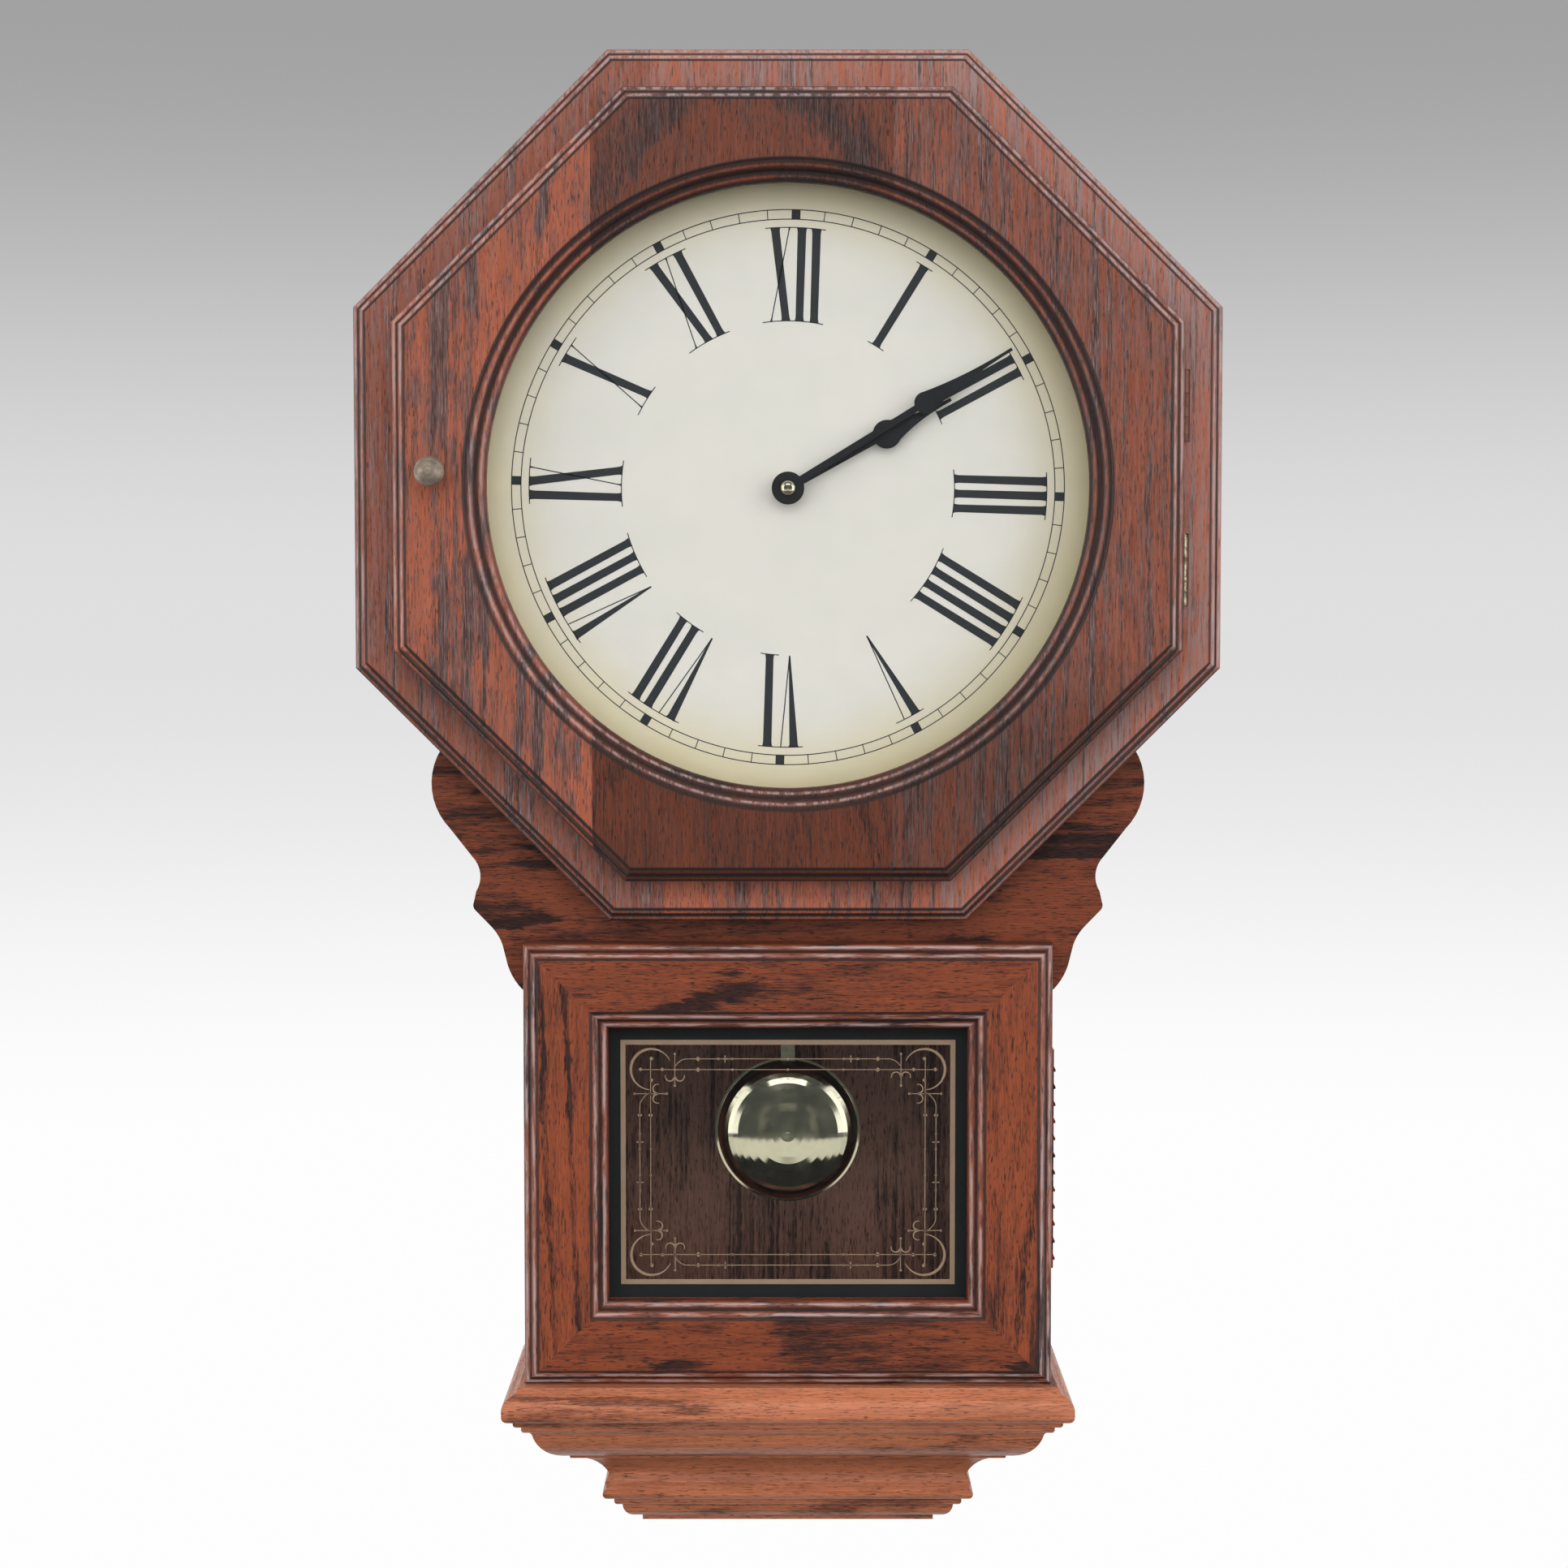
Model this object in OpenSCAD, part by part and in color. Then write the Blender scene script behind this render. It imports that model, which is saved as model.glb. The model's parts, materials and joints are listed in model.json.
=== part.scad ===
// Octagon wall clock with a pendulum case: a hinged dial door, a mitred window frame and a moulded base.
// +Z is up, the front faces -Y, and the wall is the plane Y = 0.
// The origin is the keyhole that the clock hangs from, on the wall plane.
// Outlines are drawn in (x, h), where h is the height over the dial centre.
// Depths are named off_..., the distance from the wall.

/* [Case] */
// Height of the keyhole over the dial centre
hanger_rise = 112; // [100:1:122]
// Outside width of the case box
case_w = 240; // [230:1:244]
// Thickness of the case sides, top and bottom
case_t = 12; // [9:0.5:14]
// Height of the top of the case box over the dial centre
case_top_h = 150; // [140:1:154]
// Distance of the case front from the wall
case_d = 86; // [80:1:100]
// Thickness of the back panel
back_t = 5; // [4:0.5:8]
// Width of the rabbet that seats the back panel
back_rabbet = 6; // [4:0.5:8]
// Width of the access opening behind the movement
access_w = 124; // [112:1:150]
// Top of the access opening over the dial centre
access_top = 46; // [42:1:60]
// Bottom of the access opening under the dial centre
access_low = 72; // [68:1:90]

/* [Ear board] */
// Thickness of the board that carries the ears
ear_t = 10; // [8:0.5:12]
// Height of the ear board over the top of the window frame
ear_rise = 103; // [98:1:106]
// Distance of the centre of each upper lobe from the side of the window frame
ear_lobe_out = 12.9; // [11:0.1:15]
// Radius of the upper lobe
ear_lobe_r = 30; // [28:0.5:32]
// Radius of the hollow under the lobe
ear_hollow_r = 13; // [11:0.5:15]
// How far the ears reach down behind the window frame
ear_reach = 23.2; // [20:0.1:26]

/* [Octagon surround] */
// Width across the flats
surround_w = 394; // [388:1:400]
// Thickness of the surround
surround_t = 18; // [16:0.5:20]
// Width of its edge moulding
surround_edge_w = 5.8; // [4:0.1:7]
// Depth of its edge moulding
surround_edge_d = 5.4; // [4:0.1:7]
// Radius of its round opening
surround_hole_r = 143; // [141:0.5:145]
// Width of the left board
surround_board_l = 135; // [120:1:146]
// Width of the right board
surround_board_r = 127; // [120:1:146]

/* [Dial] */
// Radius of the dial board
dial_board_r = 149; // [147:0.5:151]
// Thickness of the dial board
dial_board_t = 9; // [7:0.5:11]
// Thickness of the dial plate
dial_plate_t = 0.8; // [0.5:0.1:1.5]
// Clearance round the dial board and dial plate
dial_gap = 0.5; // [0.3:0.1:1]

/* [Door] */
// Width of the octagon door across the flats
door_w = 355; // [350:1:360]
// Thickness of the door
door_t = 18; // [16:0.5:20]
// Width of the door's edge moulding
door_edge_w = 6.3; // [5:0.1:7]
// Depth of the door's edge moulding
door_edge_d = 5.4; // [4:0.1:6]
// Width of the door from its side to the clear opening
door_border = 42; // [40:0.5:44]
// Width of the bezel moulding round the opening
bezel_w = 10; // [8:0.5:12]
// Depth of the bezel moulding
bezel_drop = 7.2; // [5:0.1:8]
// Thickness of the lip that the glass seats on
lip_t = 3; // [2:0.1:4]
// Width of the left stile
door_stile_l = 89.5; // [80:0.5:100]
// Width of the right stile
door_stile_r = 130.5; // [110:0.5:136]
// Thickness of the dial glass
glass_t = 3; // [2:0.1:4]
// Width of the seat behind the lip
glass_seat_w = 5.5; // [4:0.1:7]
// Radial width of the glazing ring
ring_w = 4; // [3:0.1:5]
// Clearance round the glass
glass_gap = 0.4; // [0.3:0.1:1]

/* [Door furniture] */
// Distance of the knob from the side of the door, as a share of the door's border
knob_share = 0.44; // [0.3:0.01:0.5]
// Height of the knob over the dial centre
knob_h = 6; // [0:0.5:20]
// Radius of the knob's ball
knob_r = 6.7; // [5:0.1:8]
// Length of the knob
knob_len = 17; // [14:0.5:22]
// Radius of the knob's screw
knob_screw_r = 2; // [1.5:0.1:2.2]
// Radius of the hinge knuckles
knuckle_r = 1.9; // [1.7:0.1:2.1]
// Radius of the hinge pins
hinge_pin_r = 0.9; // [0.7:0.05:1.1]
// Thickness of the hinge leaves
leaf_t = 0.9; // [0.7:0.05:1]
// Length of a hinge
hinge_len = 32; // [28:1:36]
// Height of each hinge over or under the dial centre
hinge_h = 37; // [30:1:45]
// Width of the leaf on the surround
leaf_case_w = 12; // [10:0.5:14]
// Width of the leaf on the door
leaf_door_w = 11; // [8:0.5:12]
// Distance of the catch from the side of the door
catch_in = 17.5; // [14:0.5:20]
// Distance of the catch under the dial centre
catch_low = 30; // [26:1:60]
// Height of the catch magnet
catch_len = 24; // [16:1:30]
// Width of the catch magnet
catch_w = 8; // [6:0.5:10]

/* [Window frame] */
// Outside width of the window frame
frame_w = 243; // [240:1:246]
// Outside height of the window frame
frame_h = 204; // [200:1:208]
// Gap between the octagon and the window frame
frame_gap = 11; // [9:0.5:14]
// Thickness of the window frame
frame_t = 18; // [16:0.5:20]
// Width of each frame member
member_w = 38.8; // [36:0.1:42]
// Width of the outer moulding
frame_edge_w = 7; // [5:0.1:9]
// Width of the inner moulding
frame_inner_w = 8; // [6:0.1:10]
// Depth of both frame mouldings
frame_edge_d = 6; // [4:0.1:7]
// Thickness of the window glass
pane_t = 2; // [1.5:0.1:3]
// Width of the glass rabbet
pane_seat_w = 5; // [4:0.1:6]
// Distance of the glass rabbet from the frame front
pane_depth = 10; // [9:0.5:11]

/* [Base] */
// Half width of the base at its nose
base_half_w = 131.3; // [129:0.1:134]
// Distance of the nose from the wall
base_d = 114; // [110:0.5:118]
// Width of the upper moulding strips
base_strip_w = 45; // [40:1:48]
// Setback of the inner side of the lower moulding strips
corbel_inner = 75; // [70:1:85]
// Height of the upper moulding
base_rise = 38; // [36:0.5:40]
// Height of the lower moulding
corbel_rise = 37; // [35:0.5:39]
// Thickness of the bottom plate
corbel_plate_t = 3; // [2:0.5:5]

/* [Movement] */
// Width of the movement housing
move_w = 102; // [100:1:110]
// Top of the housing over the arbor
move_top = 38; // [36:1:42]
// Bottom of the housing under the arbor
move_low = 62; // [60:1:66]
// Depth of the housing
move_d = 26; // [26:0.5:28]
// Wall of the housing
move_wall = 2; // [1.6:0.1:2.4]
// Thickness of the wheels
wheel_t = 2; // [1.5:0.1:2.2]
// Radius of the minute arbor
arbor_r = 1.5; // [1.2:0.1:1.7]
// Wall of the hour tube
tube_wall = 1.05; // [0.8:0.05:1.3]
// Radius of the threaded bushing
bushing_r = 4.5; // [4.2:0.1:5]
// Running clearance of arbors and tubes
run_gap = 0.05; // [0.02:0.01:0.09]
// Module of the motion work teeth
motion_m = 0.4; // [0.38:0.01:0.42]
// Module of the train teeth
train_m = 0.3; // [0.28:0.01:0.31]
// Radius of the battery cells
cell_r = 7.25; // [7:0.05:7.4]
// Length of the battery cells
cell_len = 49.5; // [48:0.5:50.5]
// Radius of the setting knob
set_knob_r = 6; // [5:0.5:8]

/* [Pendulum] */
// Depth of the pendulum pivot under the dial centre
pivot_low = 38; // [36:0.5:42]
// Height of the bob centre over the middle of the window
bob_rise = 11.2; // [5:0.1:15]
// Radius of the bob
bob_r = 34; // [30:0.5:38]
// Depth of the bob, from its back to the top of its dome
bob_t = 16; // [12:0.5:17]
// Width of the pendulum rod
rod_w = 6.5; // [5:0.5:8]
// Thickness of the pendulum rod
rod_t = 1; // [0.8:0.1:1.5]

/* [Hands] */
// Length of the minute hand
minute_len = 119; // [110:0.5:122]
// Angle of the minute hand, clockwise from upright
minute_angle = 58.3; // [0:0.1:360]
// Distance of the minute hand's round from its centre
minute_round_at = 73; // [60:0.5:85]
// Radius of the minute hand's round
minute_round_r = 5; // [3:0.1:7]
// Length of the hour hand
hour_len = 84; // [70:0.5:95]
// Angle of the hour hand, clockwise from upright
hour_angle = 61.5; // [0:0.1:360]
// Distance of the hour hand's round from its centre
hour_round_at = 51; // [40:0.5:60]
// Radius of the hour hand's round
hour_round_r = 6.5; // [4:0.1:8]
// Width of the arms of both hands
arm_w = 3.6; // [2.5:0.1:4.5]
// Radius of the hands' centres
hand_hub_r = 7.4; // [6:0.1:9]
// Thickness of the hands
hand_t = 0.5; // [0.4:0.05:0.8]

/* [Sound] */
// Height of the side grille
grille_h = 103; // [90:1:120]
// Width of the side grille, from back to front
grille_w = 62; // [50:1:66]
// Distance of the grille's back edge from the wall
grille_off = 14; // [10:1:20]
// Depth of the grille's centre under the middle of the window
grille_drop = 1.6; // [0:0.1:10]
// How far the louvres stand out from the case
grille_t = 5.3; // [4.5:0.1:8]
// Number of louvres
louvres = 12; // [9:1:13]
// Radius of the speaker
speaker_r = 28; // [24:0.5:30]

/* [Hidden] */

$fn = 96;
eps = 0.01;
fit = 0.3;

// Places that follow from the sizes above
dial_z = -hanger_rise;
case_half = case_w / 2;
case_in = case_half - case_t;
surround_off = case_d;
surround_front = surround_off + surround_t;
door_front = surround_front + door_t;
frame_front = case_d + frame_t;
frame_top = surround_w / 2 + frame_gap;
frame_low = frame_top + frame_h;
frame_mid = frame_top + frame_h / 2;
bob_low = frame_mid - bob_rise;
grille_low = frame_mid + grille_drop;
ear_top = frame_top - ear_rise;
ear_low = frame_top + ear_reach;
bezel_r = door_w / 2 - door_border;
bezel_outer_r = bezel_r + bezel_w;
door_joint_l = door_w / 2 - door_stile_l;
door_joint_r = door_w / 2 - door_stile_r;
surround_joint_l = surround_w / 2 - surround_board_l;
surround_joint_r = surround_w / 2 - surround_board_r;
knob_x = door_w / 2 - knob_share * door_border;
catch_x = door_w / 2 - catch_in;
pane_off = frame_front - pane_depth - pane_t;
pane_seat = frame_front - pane_depth;
glass_front = door_front - bezel_drop - lip_t;
glass_off = glass_front - glass_t;
seat_r = bezel_r + glass_seat_w;
dial_seat = case_d + dial_board_t;
dial_front = dial_seat + dial_plate_t;
base_h = -frame_low;
corbel_h = base_h - base_rise;
plate_h = corbel_h - corbel_rise;

// Wood colours
oak = [0.45, 0.20, 0.13];
oak_light = [0.58, 0.32, 0.20];
brass = [0.75, 0.60, 0.32];
black = [0.09, 0.09, 0.10];

// A slab of an (x, h) outline, from off out to off + t in front of the wall
module slab(off, t) translate([0, -off, dial_z]) rotate([90, 0, 0]) linear_extrude(t) children();

// A turned piece about the hand centre line, its outline in (radius, distance from the wall)
module turned() translate([0, 0, dial_z]) rotate([90, 0, 0]) rotate_extrude() children();

// A bar of a (-distance from the wall, h) outline, centred, of length len along X
module bar_x(len) translate([-len / 2, 0, dial_z]) rotate([90, 0, 90]) linear_extrude(len) children();

// A post of an (x, -distance from the wall) outline, between two heights
module post_z(low, high) translate([0, 0, dial_z + low]) linear_extrude(high - low) children();

// A round pin along Y at (x, h), from off_a out to off_b
module pin(x, h, off_a, off_b, r)
    translate([x, -off_a, dial_z + h]) rotate([90, 0, 0]) cylinder(h = off_b - off_a, r = r);

// A block between two corners given as [x, distance from the wall, h]
module block(a, b)
    translate([min(a.x, b.x), -max(a.y, b.y), dial_z + min(a.z, b.z)])
        cube([abs(b.x - a.x), abs(b.y - a.y), abs(b.z - a.z)]);

// Points of an arc from angle a to angle b
function arc(c, r, a, b, n = 6) = [for (i = [0:n]) let (t = a + (b - a) * i / n) c + r * [cos(t), sin(t)]];

// Moulding of two quarter rounds with small fillets: points from (0, -d) at the edge to (w, 0) on the face
fillet_w = 0.6;
fillet_d = 0.7;
function two_rounds(w, d, n = 5) =
    let (rx = (w - 2 * fillet_w) / 2, rd = (d - 2 * fillet_d) / 2)
    [for (k = [0:1]) for (i = [0:n])
        let (a = 180 - 90 * i / n)
        [k * (rx + fillet_w) + rx + rx * cos(a), -d + k * (rd + fillet_d) + rd * sin(a)],
     [w - fillet_w, -fillet_d], [w - fillet_w, -fillet_d / 2], [w, 0]];

// Case

module back_panel() {
    color([0.36, 0.24, 0.17])
    difference() {
        slab(0, back_t) translate([-case_in - back_rabbet + fit, base_h])
            square([2 * (case_in + back_rabbet - fit), case_top_h - case_t - base_h]);
        slab(-1, back_t + 2) translate([-access_w / 2, -access_low])
            square([access_w, access_top + access_low]);
        block([-keyplate_w / 2 - fit, -1, hanger_rise - keyplate_low - fit],
              [keyplate_w / 2 + fit, keyplate_t, hanger_rise + keyplate_high + fit]);
        block([-key_pocket, -1, hanger_rise - key_pocket],
              [key_pocket, back_t + 1, hanger_rise + key_slot_len + key_pocket]);
        plate_screws(screw_gap);
    }
}

module side_board() {
    difference() {
        block([case_in, 0, base_h], [case_half, case_d, case_top_h - case_t]);
        block([case_in - 1, -1, base_h - 1], [case_in + back_rabbet, back_t, case_top_h]);
        block([case_in - 1, case_d - ear_t, -ear_low], [case_half + 1, case_d + 1, -ear_top]);
    }
}

module left_side() color(oak) mirror([1, 0, 0]) side_board();

module right_side() color(oak) difference() {
    side_board();
    translate([case_in - 1, -grille_mid, dial_z - grille_low]) rotate([0, 90, 0])
        cylinder(h = case_t + 2, r = speaker_r - 3);
}

module case_top() color(oak) block([-case_half, 0, case_top_h - case_t], [case_half, case_d, case_top_h]);

module case_bottom() color(oak) block([-case_in, back_t, base_h], [case_in, case_d, base_h + case_t]);

// Keyhole plate
keyplate_w = 42;
keyplate_low = 12;
keyplate_high = 20;
keyplate_t = 1.5;
key_r = 4.6;
key_slot_r = 2.2;
key_slot_len = 10;
key_pocket = 9;
keyplate_screw_x = 15;
plate_screw_r = 1.4;
screw_gap = 0.1;

module hanger_plate() color(brass) difference() {
    block([-keyplate_w / 2, 0, hanger_rise - keyplate_low],
          [keyplate_w / 2, keyplate_t, hanger_rise + keyplate_high]);
    pin(0, hanger_rise, -1, keyplate_t + 1, key_r);
    pin(0, hanger_rise + key_slot_len, -1, keyplate_t + 1, key_slot_r);
    block([-key_slot_r, -1, hanger_rise], [key_slot_r, keyplate_t + 1, hanger_rise + key_slot_len]);
    plate_screws(screw_gap);
}

// Countersunk screws of the keyhole plate, grown by a gap for their holes
module plate_screws(gap) for (s = [-1, 1])
    translate([s * keyplate_screw_x, 0, key_slot_len / 2]) rotate([90, 0, 0]) {
        translate([0, 0, -gap]) cylinder(h = back_t - 0.5 + 2 * gap, r = plate_screw_r + gap);
        cylinder(h = plate_screw_r, r1 = 2 * plate_screw_r + gap, r2 = plate_screw_r + gap);
        if (gap > 0) translate([0, 0, -1]) cylinder(h = 1.01, r = 2 * plate_screw_r + gap);
    }

module hanger_screws() color(brass) plate_screws(0);

// Ear board

ear_lobe_c = [frame_w / 2 + ear_lobe_out, -frame_top + 0.709 * ear_rise];
ear_span = (frame_top + ear_lobe_c.y + ear_reach) / 96.2;
ear_hollow_c = ear_lobe_c + [0.481, -1] * (ear_lobe_r + ear_hollow_r);
ear_foot = [frame_w / 2, -ear_low];
function ear_at(x, up) = ear_foot + [x, up] * ear_span;
ear_half = concat(
    arc(ear_lobe_c, ear_lobe_r, 62, -44, 14),
    arc(ear_hollow_c, ear_hollow_r, 136, 212, 8),
    arc(ear_at(20.7, 39.8), 3.3 * ear_span, 25, -48, 5),
    arc(ear_at(32.3, 14), 23 * ear_span, 135, 161, 5),
    arc(ear_at(-18.6, 20.2), 28 * ear_span, -17, -44, 5),
    [ear_foot]
);

module ear_board() color(oak)
    slab(case_d - ear_t, ear_t)
        for (s = [0, 1]) mirror([s, 0])
            polygon(concat([[-eps, -ear_top], [ear_half[0].x, -ear_top]], ear_half, [[-eps, -ear_low]]));

// Octagon panels

// An octagon board whose front edge is moulded
module octagon_panel(w, off, t, edge_w, edge_d) {
    rim = two_rounds(edge_w, edge_d);
    section = concat(
        [[-w / 2, off]], [for (p = rim) [-w / 2 + p.x, off + t + p.y]],
        [for (i = [len(rim) - 1:-1:0]) [w / 2 - rim[i].x, off + t + rim[i].y]], [[w / 2, off]]
    );
    translate([0, 0, dial_z]) intersection() {
        octagon_bar(0, w, section);
        octagon_bar(45, w, section);
        octagon_bar(90, w, section);
        octagon_bar(135, w, section);
    }
}

module octagon_bar(angle, w, section)
    rotate([0, angle, 0]) mirror([0, 1, 0]) translate([0, 0, -w]) linear_extrude(2 * w) polygon(section);

module surround_panel() difference() {
    octagon_panel(surround_w, surround_off, surround_t, surround_edge_w, surround_edge_d);
    turned() polygon([
        [0, surround_off - 1], [dial_board_r + dial_gap, surround_off - 1],
        [dial_board_r + dial_gap, dial_seat], [surround_hole_r, dial_seat],
        [surround_hole_r, surround_front + 1], [0, surround_front + 1]
    ]);
    for (s = [-1, 1]) {
        low = s * hinge_h - hinge_cut / 2;
        block([hinge_x - leaf_case_w - leaf_clear, surround_front - leaf_t, low],
              [hinge_x + knuckle_r + 0.8, surround_front + 1, low + hinge_cut]);
    }
    catch_block(surround_front - catch_w, surround_front + 1, catch_gap);
}

// The catch's outline between two distances from the wall, grown by a gap
module catch_block(off_1, off_2, gap)
    block([-catch_x - catch_w / 2 - gap, off_1, -catch_low - catch_len / 2 - gap],
          [-catch_x + catch_w / 2 + gap, off_2, -catch_low + catch_len / 2 + gap]);

// The part of a panel that lies in one board
module board_cut(x_a, x_b, h_a, h_b) intersection() {
    children();
    block([x_a, case_d - 5, h_a], [x_b, door_front + 5, h_b]);
}

far = 300;
module surround_left() color(oak) board_cut(-far, -surround_joint_l, -far, far) surround_panel();
module surround_right() color(oak) board_cut(surround_joint_r, far, -far, far) surround_panel();
module surround_top() color(oak) board_cut(-surround_joint_l, surround_joint_r, 0, far) surround_panel();
module surround_bottom() color(oak)
    board_cut(-surround_joint_l, surround_joint_r, -far, 0) surround_panel();

// Dial

module dial_board() color([0.55, 0.42, 0.30]) difference() {
    slab(case_d, dial_board_t) circle(dial_board_r, $fn = 180);
    pin(0, 0, case_d - 1, dial_seat + 1, bushing_r + fit);
}

module dial_plate() color([0.90, 0.88, 0.80]) difference() {
    slab(dial_seat, dial_plate_t) circle(surround_hole_r - dial_gap, $fn = 180);
    pin(0, 0, dial_seat - 1, dial_front + 1, bushing_r + fit);
}

// Door

hinge_x = door_w / 2 + knuckle_r - 0.5;
hinge_off = surround_front + knuckle_r - 0.5;
knuckle_len = hinge_len / 3;
leaf_door_front = surround_front + leaf_door_w;
leaf_clear = 0.25;
hinge_cut = hinge_len + 0.8;
catch_gap = 0.2;

module bezel_void() {
    rim = two_rounds(bezel_outer_r - bezel_r, bezel_drop);
    turned() polygon(concat(
        [[0, surround_front - 1], [seat_r, surround_front - 1], [seat_r, glass_front]],
        [[bezel_r, glass_front]],
        [for (p = rim) [bezel_r + p.x, door_front + p.y]],
        [[bezel_outer_r, door_front + 1], [0, door_front + 1]]
    ));
}

module door_panel() difference() {
    octagon_panel(door_w, surround_front, door_t, door_edge_w, door_edge_d);
    bezel_void();
    for (s = [-1, 1]) {
        low = s * hinge_h - hinge_cut / 2;
        block([door_w / 2 - leaf_t, surround_front - 1, low],
              [door_w / 2 + 1, leaf_door_front + leaf_clear, low + hinge_cut]);
    }
    pin(-knob_x, knob_h, surround_front - 1, door_front + 1, knob_screw_r + run_gap);
    pin(-knob_x, knob_h, surround_front - 1, surround_front + screw_head_t, screw_head_r + 0.2);
    catch_block(surround_front - 1, surround_front + strike_t, catch_gap);
}

module door_left_stile() color(oak) board_cut(-far, -door_joint_l, -far, far) door_panel();
module door_right_stile() color(oak) board_cut(door_joint_r, far, -far, far) door_panel();
module door_top_block() color(oak) board_cut(-door_joint_l, door_joint_r, 0, far) door_panel();
module door_bottom_block() color(oak) board_cut(-door_joint_l, door_joint_r, -far, 0) door_panel();

module dial_glass() color([0.85, 0.90, 0.90, 0.3])
    slab(glass_off, glass_t) circle(seat_r - glass_gap, $fn = 180);

module glazing_ring() color(black) slab(surround_front + fit, glass_off - surround_front - fit)
    difference() {
        circle(seat_r - glass_gap, $fn = 180);
        circle(seat_r - glass_gap - ring_w, $fn = 180);
    }

// Knob and its screw

screw_head_r = 4;
screw_head_t = 2.5;
knob_neck = 0.42 * knob_r;

module door_knob() color(brass) translate([-knob_x, -door_front, dial_z + knob_h]) rotate([90, 0, 0])
    rotate_extrude() polygon(concat(
        [[knob_screw_r + run_gap, 0], [knob_r * 0.72, 0], [knob_r * 0.78, 0.5], [knob_r * 0.72, 1.2],
         [knob_neck + 0.6, 1.8]],
        arc([knob_neck + 2.6, 4], 2.6, 205, 155, 4),
        [[knob_neck + 0.4, knob_len - 2 * knob_r * 0.8]],
        arc([0, knob_len - knob_r * 0.8], knob_r, -52, 0, 6),
        [for (i = [1:9]) [knob_r * cos(i * 9.7), knob_len - knob_r * 0.8 + knob_r * 0.8 * sin(i * 9.7)]],
        [[0, knob_len], [0, knob_len - 4], [knob_screw_r + run_gap, knob_len - 4]]
    ));

module knob_screw() color([0.65, 0.62, 0.52]) {
    pin(-knob_x, knob_h, surround_front + 0.2, door_front + knob_len - 4.5, knob_screw_r);
    difference() {
        pin(-knob_x, knob_h, surround_front + 0.2, surround_front + screw_head_t, screw_head_r);
        block([-knob_x - screw_head_r, surround_front - 1, knob_h - 0.4],
              [-knob_x + screw_head_r, surround_front + 1, knob_h + 0.4]);
    }
}

// Hinges

knuckle_half = (knuckle_len - leaf_clear) / 2;

// A round bar on the hinge line, centred at height h
module hinge_round(h, len, r)
    translate([hinge_x, -hinge_off, dial_z + h - len / 2]) cylinder(h = len, r = r);

module hinge_leaf_door() color(brass) for (h = [-hinge_h, hinge_h]) difference() {
    union() {
        hinge_round(h, 2 * knuckle_half, knuckle_r);
        block([door_w / 2 - leaf_t, hinge_off + knuckle_r + 0.6, h - hinge_len / 2],
              [door_w / 2, leaf_door_front, h + hinge_len / 2]);
        block([door_w / 2 - leaf_t, surround_front + 0.8, h - knuckle_half],
              [door_w / 2, leaf_door_front, h + knuckle_half]);
    }
    hinge_round(h, hinge_cut, hinge_pin_r + run_gap);
}

module hinge_leaf_case() color(brass) for (h = [-hinge_h, hinge_h]) difference() {
    union() {
        for (e = [-1, 1]) {
            hinge_round(h + e * knuckle_len, 2 * knuckle_half, knuckle_r);
            block([hinge_x - leaf_case_w, surround_front - leaf_t, h + e * knuckle_len - knuckle_half],
                  [hinge_x, surround_front, h + e * knuckle_len + knuckle_half]);
        }
        block([hinge_x - leaf_case_w, surround_front - leaf_t, h - hinge_len / 2],
              [hinge_x - knuckle_r - 0.6, surround_front, h + hinge_len / 2]);
    }
    hinge_round(h, hinge_cut, hinge_pin_r + run_gap);
}

module hinge_pins() color(brass) for (h = [-hinge_h, hinge_h]) hinge_round(h, hinge_cut, hinge_pin_r);

// Magnetic catch

strike_t = 1.2;

module door_catch() color([0.25, 0.25, 0.26]) catch_block(surround_front - catch_w, surround_front, 0);

module catch_plate() color([0.70, 0.70, 0.72])
    catch_block(surround_front + 0.1, surround_front + strike_t, 0);

// Window frame: w runs from the outer edge inwards

outer_rim = two_rounds(frame_edge_w, frame_edge_d);
inner_rim = two_rounds(frame_inner_w, frame_edge_d);
member = concat(
    [[0, case_d]], [for (p = outer_rim) [p.x, frame_front + p.y]],
    [for (i = [len(inner_rim) - 1:-1:0]) [member_w - inner_rim[i].x, frame_front + inner_rim[i].y]],
    [[member_w, pane_seat], [member_w - pane_seat_w, pane_seat], [member_w - pane_seat_w, case_d]]
);

module mitre_rail() slab(case_d - 1, frame_t + 2) polygon([
    [-frame_w / 2, -frame_top], [frame_w / 2, -frame_top],
    [frame_w / 2 - member_w, -frame_top - member_w], [-frame_w / 2 + member_w, -frame_top - member_w]
]);

module mitre_stile() slab(case_d - 1, frame_t + 2) polygon([
    [frame_w / 2, -frame_top], [frame_w / 2, -frame_low],
    [frame_w / 2 - member_w, -frame_low + member_w], [frame_w / 2 - member_w, -frame_top - member_w]
]);

module top_member() intersection() {
    bar_x(frame_w + 2) polygon([for (p = member) [-p.y, -frame_top - p.x]]);
    mitre_rail();
}

module right_member() intersection() {
    post_z(-frame_low - 1, -frame_top + 1) polygon([for (p = member) [frame_w / 2 - p.x, -p.y]]);
    mitre_stile();
}

// A copy upside down about the middle of the frame
module flipped() translate([0, 0, 2 * dial_z - frame_top - frame_low]) mirror([0, 0, 1]) children();

module frame_top_rail() color(oak) top_member();
module frame_bottom_rail() color(oak) flipped() top_member();
module frame_right_stile() color(oak) right_member();
module frame_left_stile() color(oak) mirror([1, 0, 0]) right_member();

pane_half = frame_w / 2 - member_w + pane_seat_w;
pane_top = -frame_top - member_w + pane_seat_w;
pane_bottom = -frame_low + member_w - pane_seat_w;

module lower_glass() color([0.20, 0.24, 0.30, 0.5])
    block([-pane_half + glass_gap, pane_off, pane_bottom + glass_gap],
          [pane_half - glass_gap, pane_seat, pane_top - glass_gap]);

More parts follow.
